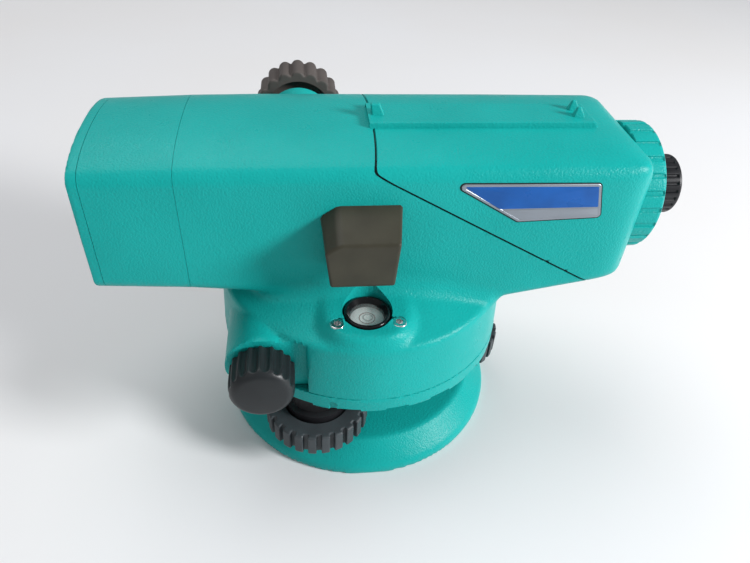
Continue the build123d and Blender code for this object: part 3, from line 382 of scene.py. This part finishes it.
def make_finishes():
    """One finish for each material slot of the record."""
    c = colours()
    grain = sizes().grain
    FINISHES.update({
        "teal_paint": textured_paint("green_paint", tuple(c.paint), grain),
        "dark_knob": moulded("dark_knob_plastic", tuple(c.knob)),
        "brown_knob": moulded("brown_knob_plastic", tuple(c.focus), (0.5, 0.7)),
        "olive_plastic": moulded("olive_plastic", tuple(c.mirror), (0.38, 0.52), 0.35, 0.000012),
        "black_plastic": moulded("black_plastic", (0.012, 0.012, 0.014), (0.3, 0.45)),
        "black_rubber": moulded("black_rubber", (0.015, 0.015, 0.016), (0.6, 0.8)),
        # dark_seal: near-black finish of the strip under the cover's seam and of the ring round the name plate, painted
        # shade of those gaps
        "dark_seal": moulded("dark_seal", (0.004, 0.010, 0.010), (0.6, 0.8)),
        "steel": metal("steel", (0.56, 0.56, 0.57)),
        "aluminium": metal("aluminium", (0.62, 0.62, 0.64), (0.35, 0.5)),
        "black_metal": moulded("black_anodised", (0.012, 0.012, 0.013), (0.25, 0.4), 0.3, 0.000006),
        "brass": metal("brass", (0.62, 0.44, 0.17)),
        "optical_glass": glass("coated_glass", (0.92, 0.96, 1.0)),
        "clear_plastic": glass("clear_plastic", (0.96, 0.97, 0.96), 0.04),
        "mirror_glass": metal("mirror_glass", (0.9, 0.91, 0.93), (0.02, 0.06)),
        "plate_blue": moulded("plate_blue", tuple(c.plate), (0.25, 0.35), 0.6, 0.000006),
        "silver": metal("plate_silver", (0.30, 0.33, 0.37), (0.38, 0.5), (1, 1, 12)),
        "vial_pale": moulded("vial_pale", (0.80, 0.82, 0.80), (0.3, 0.4)),
        "vial_glass": thin_clear("vial_glass"),
        "ring_brown": moulded("ring_brown", (0.16, 0.05, 0.035), (0.4, 0.5)),
        # Drive knobs: the same dark plastic as the levelling knobs, darkened to 0.28 as painted shade on their faces.
        "drive_plastic": moulded("drive_knob_shaded_plastic", tuple(0.28 * v for v in c.knob), (0.32, 0.46)),
        "black_gloss": moulded("black_gloss", (0.006, 0.006, 0.007), (0.1, 0.2), 0.6, 0.000002),
        "bubble_edge": moulded("bubble_edge", (0.30, 0.33, 0.31), (0.1, 0.2)),
        "screw_steel": metal("screw_steel", (0.80, 0.80, 0.80), (0.16, 0.3)),
    })


def carry_over():
    """Gives every CAD node its slot's finish."""
    slot_of = {s["node"]: s["material_slot"] for s in frame["record"]["subparts"]}
    for node, made in frame["nodes"].items():
        made.data.materials.clear()
        made.data.materials.append(FINISHES[slot_of[node]])
        made.data.shade_smooth()
        made.data.set_sharp_from_angle(angle=math.radians(28))


# ------------------------------------------------------------------ telescope fields
AXIS_Z = 99.0
DRIVE, FOCUS, BUBBLE = (-39.5, 0, 55.0), (-24.0, 0, 107.0), (-2.2, -41.3, 0)
LEVEL_SCREWS = ((-13.0, -46.4), (8.5, -46.7))
DRIVE_FACE = 48.0
FRONT, RING_SEAM, HOOD_SEAM, REAR = -95.2, -91.6, -63.1, 101.0
COVER_X, COVER_Z, FOOT, LEAN = -1.2, 121.8, (82.0, 75.0), 0.33
SHELL, TOP = 2.8, 128.2


def arc_field(y, z, half, corner, apex, up):
    """Shallow arc over the section: circle through both corners and the apex, as a distance from its rim."""
    rise = np.abs(apex - corner)
    radius = (half**2 + rise**2) / (2 * rise)
    centre = apex - up * radius
    return np.hypot(y, z - centre) - radius


def barrel_field(p, inset=0.0, rear=True):
    """Telescope body: leaning side walls crossed with shallow arcs above and below, corners rounded; behind, the plan
    and the side view close it with power curves; sizes run linearly between stations along it."""
    x, y, z = p[..., 0], np.abs(p[..., 1]), p[..., 2]
    at = (FRONT, HOOD_SEAM, -40.0, 45.0, REAR)
    low_half = np.interp(x, at, (30.6, 31.5, 32.2, 32.4, 31.6))
    top_half = np.interp(x, at, (29.6, 30.5, 30.8, 30.8, 30.6))
    low_z = np.interp(x, at, (78.5, 77.3, 75.5, 68.3, 78.5))
    top_z = np.interp(x, at, (121.0, 121.8, 122.0, 122.0, 121.8))
    apex = np.interp(x, at, (127.3, 129.0, 129.6, 129.8, 129.6))
    bottom = np.interp(x, at, (74.5, 73.5, 71.0, 64.9, 75.6))
    lean = (low_half - top_half) / (top_z - low_z)
    wall = (y - top_half - (top_z - z) * lean) / np.hypot(1, lean) + inset
    over = arc_field(y, z, top_half, top_z, apex, 1) + inset
    under = arc_field(y, z, low_half, low_z, bottom, -1) + inset
    f = cross(wall, over, max(3.2 - inset, 1.0))
    f = cross(f, under, max(4.0 - inset, 1.2))
    f = cross(f, z - TOP + inset, 5.0)
    if rear:
        u = np.maximum(x - 75.0, 0) / (26.0 - inset)
        plan = ((u**2.9 + (y / (33.0 - inset)) ** 2.9) ** (1 / 2.9) - 1) * 24
        v = np.maximum(x - 72.0, 0) / (29.0 - inset)
        w = np.maximum(z - 106.0, 0) / (22.8 - inset)
        side = ((v**2.4 + w**2.4) ** (1 / 2.4) - 1) * 22
        f = cross(f, plan, 2.0)
        f = cross(f, side, 2.5)
        f = cross(f, slope(p, (96.5 - inset, 0, 77.0), (15, 0, -5.0)), 1.5)
    return f


def cover_side(p, shift=0.0):
    """Distance ahead of the rear cover's seam, positive on the objective's side: the seam is a nearly upright plane down to the
    corner and a slanting plane below it."""
    upright = COVER_X - shift + LEAN * np.maximum(p[..., 2] - COVER_Z, 0) - p[..., 0]
    slant = slope(p, (COVER_X, 0, COVER_Z), (-(COVER_Z - FOOT[1]), 0, -(FOOT[0] - COVER_X))) - shift
    return upright, slant


def housing_field(p):
    """Round housing with its sloping top, bubble boss, drive bosses and focusing boss, filleted into the barrel. The
    wall and the slope meet in a crisp rim; the boss is a flat tongue with a round end that sinks into the slope."""
    x, y, z = p[..., 0], p[..., 1], p[..., 2]
    r = np.hypot(x, y)
    wall = r - 57.2 + (z - 45.0) * 0.055
    cone = ((r - 28.0) * 10.5 + (z - 78.5) * 28.0) / math.hypot(10.5, 28.0)
    drum = cross(wall, cone, 1.4)
    level = np.hypot(x + 2.2, y - np.clip(y, -41.3, -20.0))
    boss = cross(cross(level - 16.0, z - 73.2, 3.0), r - 55.0, 3.0)
    drum = join(drum, boss, 3.5)
    body = join(drum, barrel_field(p), sizes().blend)
    for side in (-1.0, 1.0):
        far = side * y
        body = np.maximum(body, -np.maximum(np.maximum(DRIVE_FACE - far, x + 23.5), z - 66.6))
        knob = cross(bar(p, 1, DRIVE, 13.2), far - DRIVE_FACE, 0.5)
        square = cross(crate(p, (-39.5, -60, 40), (-23.5, 60, 66.4), 0.8), far - DRIVE_FACE, 0.35)
        lobe = np.maximum(np.minimum(knob, square), 18.0 - far)
        body = join(body, lobe, 0.6)
    focus = cross(bar(p, 1, FOCUS, 13.0), y - 42.5, 0.8)
    return join(body, np.maximum(focus, 24.0 - y), 2.0)


def chamber_field(p):
    """Space inside the round housing below its floor."""
    bay = np.maximum(bar(p, 2, (0, 0, 0), 54.0), p[..., 2] - 64.5)
    far = np.abs(p[..., 1])
    q = np.stack([p[..., 0], far, p[..., 2]], -1)
    pads = np.minimum(crate(q, (-47.5, 41, 40), (-31.5, 60, 70)), crate(q, (-32.5, 46.8, 40), (-22.5, 60, 70)))
    return np.maximum(bay, -pads)


def bore_fields(p):
    """Openings through the housing: bubble, its two screws, the reading window, drive bushes and focusing bush."""
    top = p[..., 2]
    bubble = np.maximum(bar(p, 2, BUBBLE, 8.9), 63.5 - top)
    first = np.maximum(bar(p, 2, (*LEVEL_SCREWS[0], 0), 2.5), 63.5 - top)
    second = np.maximum(bar(p, 2, (*LEVEL_SCREWS[1], 0), 2.5), 63.5 - top)
    window = crate(p, (50, -7, 46.5), (60, 7, 52.2), 0.8)
    focus = np.maximum(bar(p, 1, FOCUS, 6.5), 20 - p[..., 1])
    drive = np.maximum(bar(p, 1, DRIVE, 6.0), p[..., 0])
    front = np.maximum(bar(p, 0, (0, 0, AXIS_Z), 19.0), p[..., 0] + 58.0)
    return [-bubble, -first, -second, -window, -focus, -drive, -front]


def main_housing_parts(p):
    """All fields whose common inside is the main housing's metal."""
    hollow = np.maximum(barrel_field(p, SHELL), between(p, 0, HOOD_SEAM + 4.0, 120.0))
    hollow = np.maximum(hollow, 70.0 - p[..., 2])
    hollow = np.minimum(hollow, crate(p, (-21, -22, 70), (48, 22, 90)))
    return [housing_field(p), 45.0 - p[..., 2], HOOD_SEAM - p[..., 0], seam_keep(p),
            -hollow, -chamber_field(p), *bore_fields(p)]


def seam_keep(p, shift=0.0):
    """Negative ahead of the cover's seam."""
    upright, slant = cover_side(p, shift)
    return -cross(upright, slant, 1.5)


def rear_cover_parts(p):
    """Fields of the rear cover's shell."""
    upright, slant = cover_side(p, -0.8)
    hollow = barrel_field(p, SHELL)
    hole = bar(p, 0, (0, 0, AXIS_Z), 13.9)
    return [barrel_field(p), cross(upright, slant, 1.5), -hollow, -np.maximum(hole, 90.0 - p[..., 0])]


def seam_shade_parts(p):
    """Fields of a near-black strip that follows the cover's seam just under the paint: painted shade that makes the
    seam's gap read black.
    """
    ahead, behind = cover_side(p), cover_side(p, -0.8)
    return [barrel_field(p, 0.7), cross(*ahead, 1.5) - 0.3, -cross(*behind, 1.5) - 0.3, -barrel_field(p, 2.9)]


def hood_parts(p):
    """Fields of the hood between its two seams."""
    return [barrel_field(p, 0, False), between(p, 0, RING_SEAM + 0.02, HOOD_SEAM - 0.12), -barrel_field(p, 2.5,
        False)]


def front_ring_parts(p):
    """Fields of the front bezel."""
    return [cross(barrel_field(p, 0, False), FRONT - p[..., 0], 0.8), p[..., 0] - RING_SEAM + 0.15,
            -bar(p, 0, (0, 0, AXIS_Z), 19.5)]


# ------------------------------------------------------------------ smaller parts, fields
def polar(p, axis, at, count, phase=0.0):
    """Folds space round an axis into one of count equal sectors: radius along the sector's middle and
    offset across it."""
    i, j = [(1, 2), (2, 0), (0, 1)][axis]
    a, b = p[..., i] - at[i], p[..., j] - at[j]
    r, turn = np.hypot(a, b), np.arctan2(b, a) - phase
    sector = math.tau / count
    turn = turn - sector * np.round(turn / sector)
    return r * np.cos(turn), r * np.sin(turn), r


def planes(p, rows, r=0.0):
    """Convex solid from (point, normal) planes crossed one after another with rounded edges."""
    f = slope(p, *rows[0])
    for row in rows[1:]:
        g = slope(p, *row)
        f = cross(f, g, r) if r else np.maximum(f, g)
    return f


def base_plate_parts(p):
    """Foot: rim, cone and flat top crossed with small roundings; sockets, tripod bore and a relief below
    taken out."""
    z = p[..., 2]
    r = np.hypot(p[..., 0], p[..., 1])
    cone = ((r - 58.5) * 8.3 + (z - 3.6) * 8.5) / math.hypot(8.3, 8.5)
    body = cross(cross(r - 58.5, cone, 1.2), z - 12.0, 0.5)
    cuts = [-bar(p, 2, (0, 0, 0), 7.94), -np.maximum(np.maximum(17.94 - r, r - 29.6), z - 4.0)]
    for a in LEVEL_SPOTS:
        cuts.append(-np.maximum(bar(p, 2, a, 6.0), 3.5 - z))
    return [cross(body, 0.0 - z, 0.5), *cuts]


def ring_parts(p):
    """Finger ring: thin wall and web round the hub, lower edge stepped by notches, one index cut."""
    z = p[..., 2]
    along, across, r = polar(p, 2, (0, 0, 0), 20, math.radians(9))
    outer = cross(cross(r - 57.3, z - 44.7, 0.4), 38.0 - z, 0.6)
    inner = np.maximum(r - 53.8, z - 42.0)
    above = np.maximum(r - 55.8, 44.2 - z)
    notch = cross(np.abs(across) - 4.4, z - 39.4, 0.3)
    notch = np.maximum(notch, 56.0 - r)
    turn = math.radians(-105)
    side = -p[..., 0] * math.sin(turn) + p[..., 1] * math.cos(turn)
    ahead = p[..., 0] * math.cos(turn) + p[..., 1] * math.sin(turn)
    index = np.minimum(np.maximum(np.abs(side) - 1.5, z - 41.0), np.hypot(side, z - 41.0) - 1.5)
    index = np.maximum(index, 56.2 - ahead)
    return [outer, -inner, -above, 24.04 - r, -notch, -index]


def lev_knob_parts(at):
    """Fields of a levelling knob: disc with rounded rims, 24 grooves across its edge, cup on top and bore."""
    def parts(p):
        z = p[..., 2]
        along, across, r = polar(p, 2, (at[0], at[1], 0), 24)
        disc = cross(cross(r - 20.4, z - 25.0, 1.0), 15.0 - z, 1.0)
        groove = cross(np.abs(across) - 1.0, 18.5 - along, 0.4)
        cup = np.maximum(r - 13.3, 17.4 - z)
        return [cross(disc, -groove, 0.35), -cup, 4.0 - r]
    return parts


def drive_knob_parts(side):
    """Fields of a drive knob: rounded end, 18 round grooves that stop short of it, bore for the shaft."""
    def parts(p):
        y = p[..., 1] * side
        q = p.copy()
        q[..., 1] = y
        along, across, r = polar(q, 1, DRIVE, 18, math.radians(10))
        taper = r - 11.5 + np.maximum(y - 55.0, 0) ** 2 * 0.012
        body = cross(cross(taper, y - 62.5 + r**2 * 0.007, 2.6), 48.5 - y, 0.5)
        reach = np.maximum(y - 58.6, 0)
        groove = np.sqrt((along - 12.0) ** 2 + across**2 + (0.6 * reach) ** 2) - 1.55
        return [cross(body, -groove, 0.35), -np.maximum(r - 2.5, y - 58.5)]
    return parts


def focus_knob_parts(p):
    """Fields of the focusing knob: 18 round lobes joined to a disc, rounded at both ends, hollow behind
    with a hub."""
    y = p[..., 1]
    along, across, r = polar(p, 1, FOCUS, 18)
    lobe = np.hypot(along - 14.95, across) - 2.65
    body = join(lobe, r - 15.9, 0.5)
    body = cross(cross(body, y - 60.5, 1.0), 46.5 - y, 0.8)
    hollow = np.maximum(np.maximum(r - 13.6, y - 51.5), 5.0 - r)
    return [body, -hollow, -np.maximum(r - 2.5, y - 56.5)]


def collar_parts(p):
    """Fields of the eyepiece collar: notched drum, domed behind, reaching back into the rear cover; bored."""
    x = p[..., 0]
    along, across, r = polar(p, 0, (0, 0, AXIS_Z), 24, math.radians(7.5))
    dome = r - 24.3 + np.maximum(x - 104.6, 0) ** 2 * 0.62
    body = cross(cross(dome, x - 108.4, 1.5), 95.8 - x, 0.4)
    notch = np.maximum(cross(np.abs(across) - 0.9, 23.5 - along, 0.3), x - 105.2)
    return [cross(body, -notch, 0.35), 13.9 - r]


def dioptre_parts(p):
    """Fields of the dioptre ring: 24 grooves along it, rounded rim, bored for the barrel, thin lip behind."""
    x = p[..., 0]
    along, across, r = polar(p, 0, (0, 0, AXIS_Z), 24)
    body = cross(cross(r - 11.4, x - 119.8, 1.0), 109.6 - x, 0.5)
    groove = cross(np.abs(across) - 0.5, 10.85 - along, 0.25)
    groove = np.maximum(groove, np.abs(x - 114.2) - 3.9)
    return [cross(body, -groove, 0.3), 9.54 - r + np.maximum(x - 118.6, 0) * 1.4]


MIRROR_SIDES = (
    ((0, -45, 105), (0, -0.397, 0.917)), ((0, -45, 105), (0, -0.999, -0.047)), ((-11.8, -45, 105.3), (-0.525,
        -0.35, 0.775)),
    ((-18.0, -31.3, 106.7), (-0.99, -0.026, -0.12)), ((9.0, -31.3, 110.6), (17, -1.8, -1.0)),
)


def mirror_parts(p):
    """Fields of the mirror hood: leaning planes with rounded edges, closed by the wall; a thinner copy opens it
    below and towards the eyepiece."""
    body = planes(p, MIRROR_SIDES, 0.8)
    body = cross(body, 87.3 - p[..., 2], 0.9)
    inner = planes(p, MIRROR_SIDES[:4], 0.8) + 1.7
    return [body, -inner, p[..., 1] + 31.0, -barrel_field(p) + 0.02]


PLATE = ((24.2, 118.6), (75.2, 118.0), (78.3, 105.0), (49.0, 103.8))
FIELD = ((28.6, 117.7), (74.5, 117.15), (76.3, 109.2), (41.4, 109.0))
STRIP = ((42.0, 108.6), (76.4, 108.8), (77.2, 105.9), (48.6, 104.8))


def outline(corners, inset, radius, steps=8):
    """Closed polygon moved inwards by inset, each corner rounded by an arc of the radius, as points in a plane; corners
    run clockwise seen with x to the right and z up."""
    c = np.asarray(corners, float)
    ahead = np.roll(c, -1, 0) - c
    ahead /= np.linalg.norm(ahead, axis=1)[:, None]
    behind = np.roll(ahead, 1, 0)
    normal = np.stack([ahead[:, 1], -ahead[:, 0]], 1)
    past = np.stack([behind[:, 1], -behind[:, 0]], 1)
    half = (normal + past) / np.sum((normal + past) ** 2, 1)[:, None] * 2
    centre = c + half * (inset + radius)
    first, last = np.arctan2(-past[:, 1], -past[:, 0]), np.arctan2(-normal[:, 1], -normal[:, 0])
    turn = (last - first + math.pi) % math.tau - math.pi
    a = first[:, None] + turn[:, None] * np.linspace(0, 1, steps)
    points = centre[:, None] + radius * np.stack([np.cos(a), np.sin(a)], -1)
    return points.reshape(-1, 2)


def on_wall(flat, proud):
    """Points of a plane outline laid on the leaning near wall, standing proud of it."""
    return np.stack([flat[:, 0], -30.8 - (122.0 - flat[:, 1]) * 0.0285 - proud, flat[:, 1]], 1)


def plate(name, corners, levels, slot, material, stands_for=()):
    """Thin plate: loops of its outline at (inset, corner radius, height) closed by a fan at the front and
    the back."""
    loops = [on_wall(outline(corners, inset, radius), proud) for inset, radius, proud in levels]
    count = len(loops[0])
    points = np.concatenate(loops + [loops[0].mean(0)[None], loops[-1].mean(0)[None]])
    faces = sheet_faces(len(loops), count, True)[:, ::-1].tolist()
    last, k = (len(loops) - 1) * count, np.arange(count)
    tip = len(points) - 2
    faces += np.stack([k, np.roll(k, -1), np.full(count, tip)], 1).tolist()
    faces += np.stack([last + np.roll(k, -1), last + k, np.full(count, tip + 1)], 1).tolist()
    mesh = piece(name, points, np.array([[0, 1, 2]]), "instrument", material, stands_for, 25)
    mesh.data.clear_geometry()
    mesh.data.from_pydata((points * MM).tolist(), [], faces)
    mesh.data.shade_smooth()
    mesh.data.set_sharp_from_angle(angle=math.radians(25))
    return mesh


def box_rows(x0, x1, y0, y1, z0, z1, front=0.0, back=0.0, side=0.0):
    """Planes of a box whose front, back and side faces lean in by the given slopes."""
    return [((x0, 0, z0), (-1, 0, front)), ((x1, 0, z0), (1, 0, back)), ((0, y0, z0), (0, -1, side)),
            ((0, y1, z0), (0, 1, side)), ((0, 0, z1), (0, 0, 1)), ((0, 0, z0), (0, 0, -1))]


LEVEL_SPOTS = [(43.0 * math.cos(math.radians(a)), 43.0 * math.sin(math.radians(a)), 0) for a in (-118.0, 2.0,
    122.0)]


# ------------------------------------------------------------------ operators
class LEVEL_OT_finishes(bpy.types.Operator):
    """Makes the finishes and gives each CAD node its own"""

    bl_idname = "level.finishes"
    bl_label = "Finishes"

    def execute(self, context):
        make_finishes()
        carry_over()
        return {"FINISHED"}


class LEVEL_OT_castings(bpy.types.Operator):
    """Builds the painted castings of telescope and housing"""

    bl_idname = "level.castings"
    bl_label = "Castings"

    def execute(self, context):
        step = sizes().lattice
        paint = FINISHES["teal_paint"]
        cast("main_housing_skin", main_housing_parts, (-66, -60, 43), (92, 60, 132), step, "instrument",
             paint, ("main_housing",))
        cast("rear_cover_skin", rear_cover_parts, (-4, -35, 68), (104, 35, 132), step, "instrument",
             paint, ("rear_cover",))
        # The near-black strip under the cover's seam is painted shade of the gap.
        cast("rear_seam_shade_skin", seam_shade_parts, (-4, -35, 68), (92, 35, 132), step * 0.6, "instrument",
             FINISHES["dark_seal"], ("rear_gasket",))
        cast("objective_hood_skin", hood_parts, (-93, -35, 70), (-61, 35, 132), step, "instrument",
             paint, ("objective_hood",))
        cast("front_ring_skin", front_ring_parts, (-97, -34, 70), (-90, 34, 132), 0.8, "instrument",
             paint, ("front_ring",))
        return {"FINISHED"}


class LEVEL_OT_base(bpy.types.Operator):
    """Builds the foot, the levelling knobs and the finger ring"""

    bl_idname = "level.base"
    bl_label = "Foot, levelling knobs and ring"

    def execute(self, context):
        fine = sizes().fine
        cast("base_plate_skin", base_plate_parts, (-60, -60, -2), (60, 60, 14), 1.2, "base",
             FINISHES["teal_paint"], ("base_plate",))
        cast("circle_ring_skin", ring_parts, (-59, -59, 36.5), (59, 59, 46), 0.85, "circle",
             FINISHES["teal_paint"], ("circle_ring",))
        for name, at in zip(("front", "right", "rear"), LEVEL_SPOTS):
            cast(f"levelling_knob_{name}_skin", lev_knob_parts(at), (at[0] - 22, at[1] - 22, 13.6), (at[0] + 22,
                at[1] + 22, 26.2),
                 fine, f"screw_{name}", FINISHES["dark_knob"], (f"levelling_knob_{name}",))
        return {"FINISHED"}


class LEVEL_OT_knobs(bpy.types.Operator):
    """Builds the drive knobs, the focusing knob and the dioptre ring"""

    bl_idname = "level.knobs"
    bl_label = "Knobs"

    def execute(self, context):
        fine = sizes().fine
        for name, side in (("near", -1), ("far", 1)):
            y0, y1 = sorted((side * 47.5, side * 63.5))
            cast(f"drive_knob_{name}_skin", drive_knob_parts(side), (-52.5, y0, 42), (-26.5, y1, 68),
                fine * 0.8, "drive",
                 FINISHES["drive_plastic"], (f"drive_knob_{name}",))
        cast("focus_knob_skin", focus_knob_parts, (-42.7, 45.3, 88.3), (-5.3, 61.7, 125.7), fine, "focus_drive",
             FINISHES["brown_knob"], ("focus_knob",))
        cast("dioptre_ring_skin", dioptre_parts, (108.5, -12.5, 86.5), (121, 12.5, 111.5), fine * 0.8, "dioptre",
             FINISHES["black_plastic"], ("dioptre_ring",))
        cast("eyepiece_collar_skin", collar_parts, (94.8, -25.5, 73.5), (109.5, 25.5, 124.5), fine * 1.1,
            "instrument",
             FINISHES["teal_paint"], ("eyepiece_collar",))
        return {"FINISHED"}


class LEVEL_OT_fittings(bpy.types.Operator):
    """Builds the sights, the mirror hood, the bare plate and the bubble"""

    bl_idname = "level.fittings"
    bl_label = "Sights, mirror hood, plate and bubble"

    def execute(self, context):
        paint = FINISHES["teal_paint"]
        rails = [box_rows(0.3, 81.3, -8.8, 8.8, 124.0, 128.85, -0.33, 0.4, 0.15),
                 box_rows(0.9, 5.6, -2.3, 2.3, 128.0, 132.3, -0.1, 0.45, 0.3),
                 box_rows(72.0, 77.0, -4.3, -1.3, 128.0, 132.3, 0.3, 0.5, 0.25),
                 box_rows(72.0, 77.0, 1.3, 4.3, 128.0, 132.3, 0.3, 0.5, 0.25)]
        for k, rows in enumerate(rails):
            name = ("sight_rail", "front_sight", "rear_sight_near", "rear_sight_far")[k]
            low = (rows[0][0][0] - 1, rows[2][0][1] - 1, rows[5][0][2] - 1)
            high = (rows[1][0][0] + 1, rows[3][0][1] + 1, rows[4][0][2] + 1)
            made = cast(name, lambda p, rows=rows, r=0.25 if k == 0 else 0.45: [planes(p, rows, r)], low, high,
                0.5 if k == 0 else 0.25,
                        "instrument", paint)
            if k == 0:
                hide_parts("rear_cover")
        cast("mirror_housing_skin", mirror_parts, (-21, -48, 86), (11.5, -29, 113), 0.45, "instrument",
             FINISHES["olive_plastic"], ("mirror_housing",))
        plate("plate_border", PLATE, [(0, 1.3, -0.3), (0, 1.3, 0.12), (0.2, 1.1, 0.3), (0.9, 0.5, 0.3), (1.0,
            0.5, 0.2)],
              "plate_blue", FINISHES["silver"], ("name_plate",))
        # Near-black ring just outside the plate's outline: painted shade of the recess round the plate.
        plate("plate_recess_shade", PLATE, [(-0.35, 1.6, -0.3), (-0.35, 1.6, 0.03), (0.2, 1.2, 0.03)], "dark_seal",
            FINISHES["dark_seal"])
        plate("plate_field", FIELD, [(0, 0.3, 0.05), (0, 0.3, 0.28), (0.1, 0.25, 0.3)], "plate_blue",
            FINISHES["plate_blue"])
        plate("plate_strip", STRIP, [(0, 0.3, 0.05), (0, 0.3, 0.26), (0.1, 0.25, 0.28)], "plate_blue",
            FINISHES["silver"])

        def case(p):
            z, r = p[..., 2], np.hypot(p[..., 0] - BUBBLE[0], p[..., 1] - BUBBLE[1])
            drum = cross(r - 8.24, z - 73.9, 0.7)
            bowl = np.maximum(r - 6.0 - np.maximum(z - 71.6, 0) * 0.55, 67.3 - z)
            return [drum, 61.5 - z, -bowl]

        def heads(p):
            near = np.where((p[..., 0] < -2)[..., None], *LEVEL_SCREWS)
            u, v, z = p[..., 0] - near[..., 0], p[..., 1] - near[..., 1], p[..., 2]
            turn = np.arctan2(v, u) + 0.3
            flat = np.hypot(u, v) * np.cos(turn - math.pi / 3 * np.round(turn / (math.pi / 3)))
            socket = np.maximum(flat - 1.2, 71.4 - z)
            return [cross(np.hypot(u, v) - 2.65, z - 73.45, 0.4), 66.0 - z, -socket]

        cast("level_case_skin", case, (-11.5, -50.6, 60.8), (7.2, -32, 74.6), 0.4, "instrument",
             FINISHES["black_gloss"], ("level_case",))
        cast("level_screw_skin", heads, (-16.4, -50.2, 65.4), (11.9, -42.8, 74.2), 0.24, "instrument",
             FINISHES["screw_steel"], ("level_screws",))
        dome = [(0, 70.6), (6.15, 70.6), (6.15, 71.9), (5.4, 72.15), (4, 72.35), (2, 72.5), (0, 72.55)]
        points, faces = turned(dome, BUBBLE, 2, 96)
        piece("level_glass", points, faces, "instrument", FINISHES["vial_glass"], ("level_vial",))
        disc = [(0, 67.4), (6.1, 67.4), (6.1, 70.3), (5.6, 70.5), (0, 70.5)]
        points, faces = turned(disc, BUBBLE, 2, 96)
        piece("level_disc", points, faces, "instrument", FINISHES["vial_pale"])
        bubble = [(1.45, 70.5), (1.8, 70.5), (1.8, 70.62), (1.62, 70.7), (1.45, 70.62)]
        points, faces = turned(bubble, (-1.9, -41.0, 0), 2, 64)
        piece("level_bubble", points, faces, "instrument", FINISHES["bubble_edge"])
        ring = [(2.6, 70.5), (2.95, 70.5), (2.95, 70.58), (2.6, 70.58)]
        points, faces = turned(ring, BUBBLE, 2, 96)
        piece("level_mark", points, faces, "instrument", FINISHES["ring_brown"])
        return {"FINISHED"}


class LEVEL_OT_stage(bpy.types.Operator):
    """Lays the pale floor, lamps, world and camera"""

    bl_idname = "level.stage"
    bl_label = "Stage"

    def execute(self, context):
        scene = context.scene
        scene.view_settings.view_transform = "Standard"
        a = np.array([[-3, -3, -0.0002], [3, -3, -0.0002], [3, 3, -0.0002], [-3, 3, -0.0002]]) / MM
        mesh = bpy.data.meshes.new("floor")
        mesh.from_pydata((a * MM).tolist(), [], [(0, 1, 2, 3)])
        floor = bpy.data.objects.new("floor", mesh)
        scene.collection.objects.link(floor)
        material, tree, shader, place = new_material("floor_white", (0.80, 0.80, 0.81), 0.5)
        tree.links.new(tint(tree, spread(tree, noise(tree, place, 3.0, 3.0), 0, 1), (0.80, 0.79, 0.785), (0.82,
            0.825, 0.84)),
                       shader.inputs["Base Color"])
        mesh.materials.append(material)
        world = bpy.data.worlds.new("studio")
        scene.world = world
        world.use_nodes = True
        back = world.node_tree.nodes["Background"]
        back.inputs["Color"].default_value = (0.93, 0.95, 1.0, 1)
        back.inputs["Strength"].default_value = 0.30
        for name, place, aim, size, power, colour in (
            ("window", (0.98, -0.50, 0.56), (0, 0, 0.06), 0.30, 16.5, (0.98, 0.99, 1.0)),
            ("ceiling", (-0.35, 0.55, 1.4), (0, 0.05, 0.06), 1.3, 10.5, (1.0, 1.0, 1.0)),
            ("room", (-0.9, -0.6, 0.9), (0, 0, 0.06), 1.2, 1.5, (1.0, 0.97, 0.92)),
        ):
            data = bpy.data.lights.new(name, "AREA")
            data.shape = "DISK"
            data.size = size
            data.energy = power
            data.color = colour
            lamp = bpy.data.objects.new(name, data)
            scene.collection.objects.link(lamp)
            lamp.location = place
            lamp.rotation_euler = (Vector(aim) - Vector(place)).to_track_quat("-Z", "Y").to_euler()
        data = bpy.data.cameras.new("view")
        data.sensor_width = 36.0
        data.lens = 30.10
        eye = bpy.data.objects.new("view", data)
        scene.collection.objects.link(eye)
        down, yaw, roll = math.radians(39.81), math.radians(8.25), math.radians(3.57)
        ahead = Vector((math.sin(yaw) * math.cos(down), math.cos(yaw) * math.cos(down), -math.sin(down)))
        right = Vector((math.cos(yaw), -math.sin(yaw), 0))
        up = right.cross(ahead)
        level, tall = right * math.cos(roll) + up * math.sin(roll), up * math.cos(roll) - right * math.sin(roll)
        turn = Matrix((level, tall, -ahead)).transposed().to_4x4()
        eye.matrix_world = Matrix.Translation((-0.02348, -0.20212, 0.22278)) @ turn
        scene.camera = eye
        return {"FINISHED"}


class LEVEL_PT_panel(bpy.types.Panel):
    """Sidebar panel of the level"""

    bl_label = "Automatic level"
    bl_space_type = "VIEW_3D"
    bl_region_type = "UI"
    bl_category = "Level"

    def draw(self, context):
        for group in (context.scene.level_sizes, context.scene.level_colours):
            for name in group.__annotations__:
                self.layout.prop(group, name)
        for made in OPERATORS:
            self.layout.operator(made.bl_idname)


OPERATORS = (LEVEL_OT_finishes, LEVEL_OT_castings, LEVEL_OT_base, LEVEL_OT_knobs, LEVEL_OT_fittings, LEVEL_OT_stage)
CLASSES = (LevelSizes, LevelColours, *OPERATORS, LEVEL_PT_panel)


def register():
    for made in CLASSES:
        bpy.utils.register_class(made)
    bpy.types.Scene.level_sizes = PointerProperty(type=LevelSizes)
    bpy.types.Scene.level_colours = PointerProperty(type=LevelColours)


def unregister():
    del bpy.types.Scene.level_colours
    del bpy.types.Scene.level_sizes
    for made in reversed(CLASSES):
        bpy.utils.unregister_class(made)


def main():
    """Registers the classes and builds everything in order."""
    register()
    bpy.ops.level.finishes()
    bpy.ops.level.castings()
    bpy.ops.level.base()
    bpy.ops.level.knobs()
    bpy.ops.level.fittings()
    bpy.ops.level.stage()


if __name__ == "__main__":
    main()
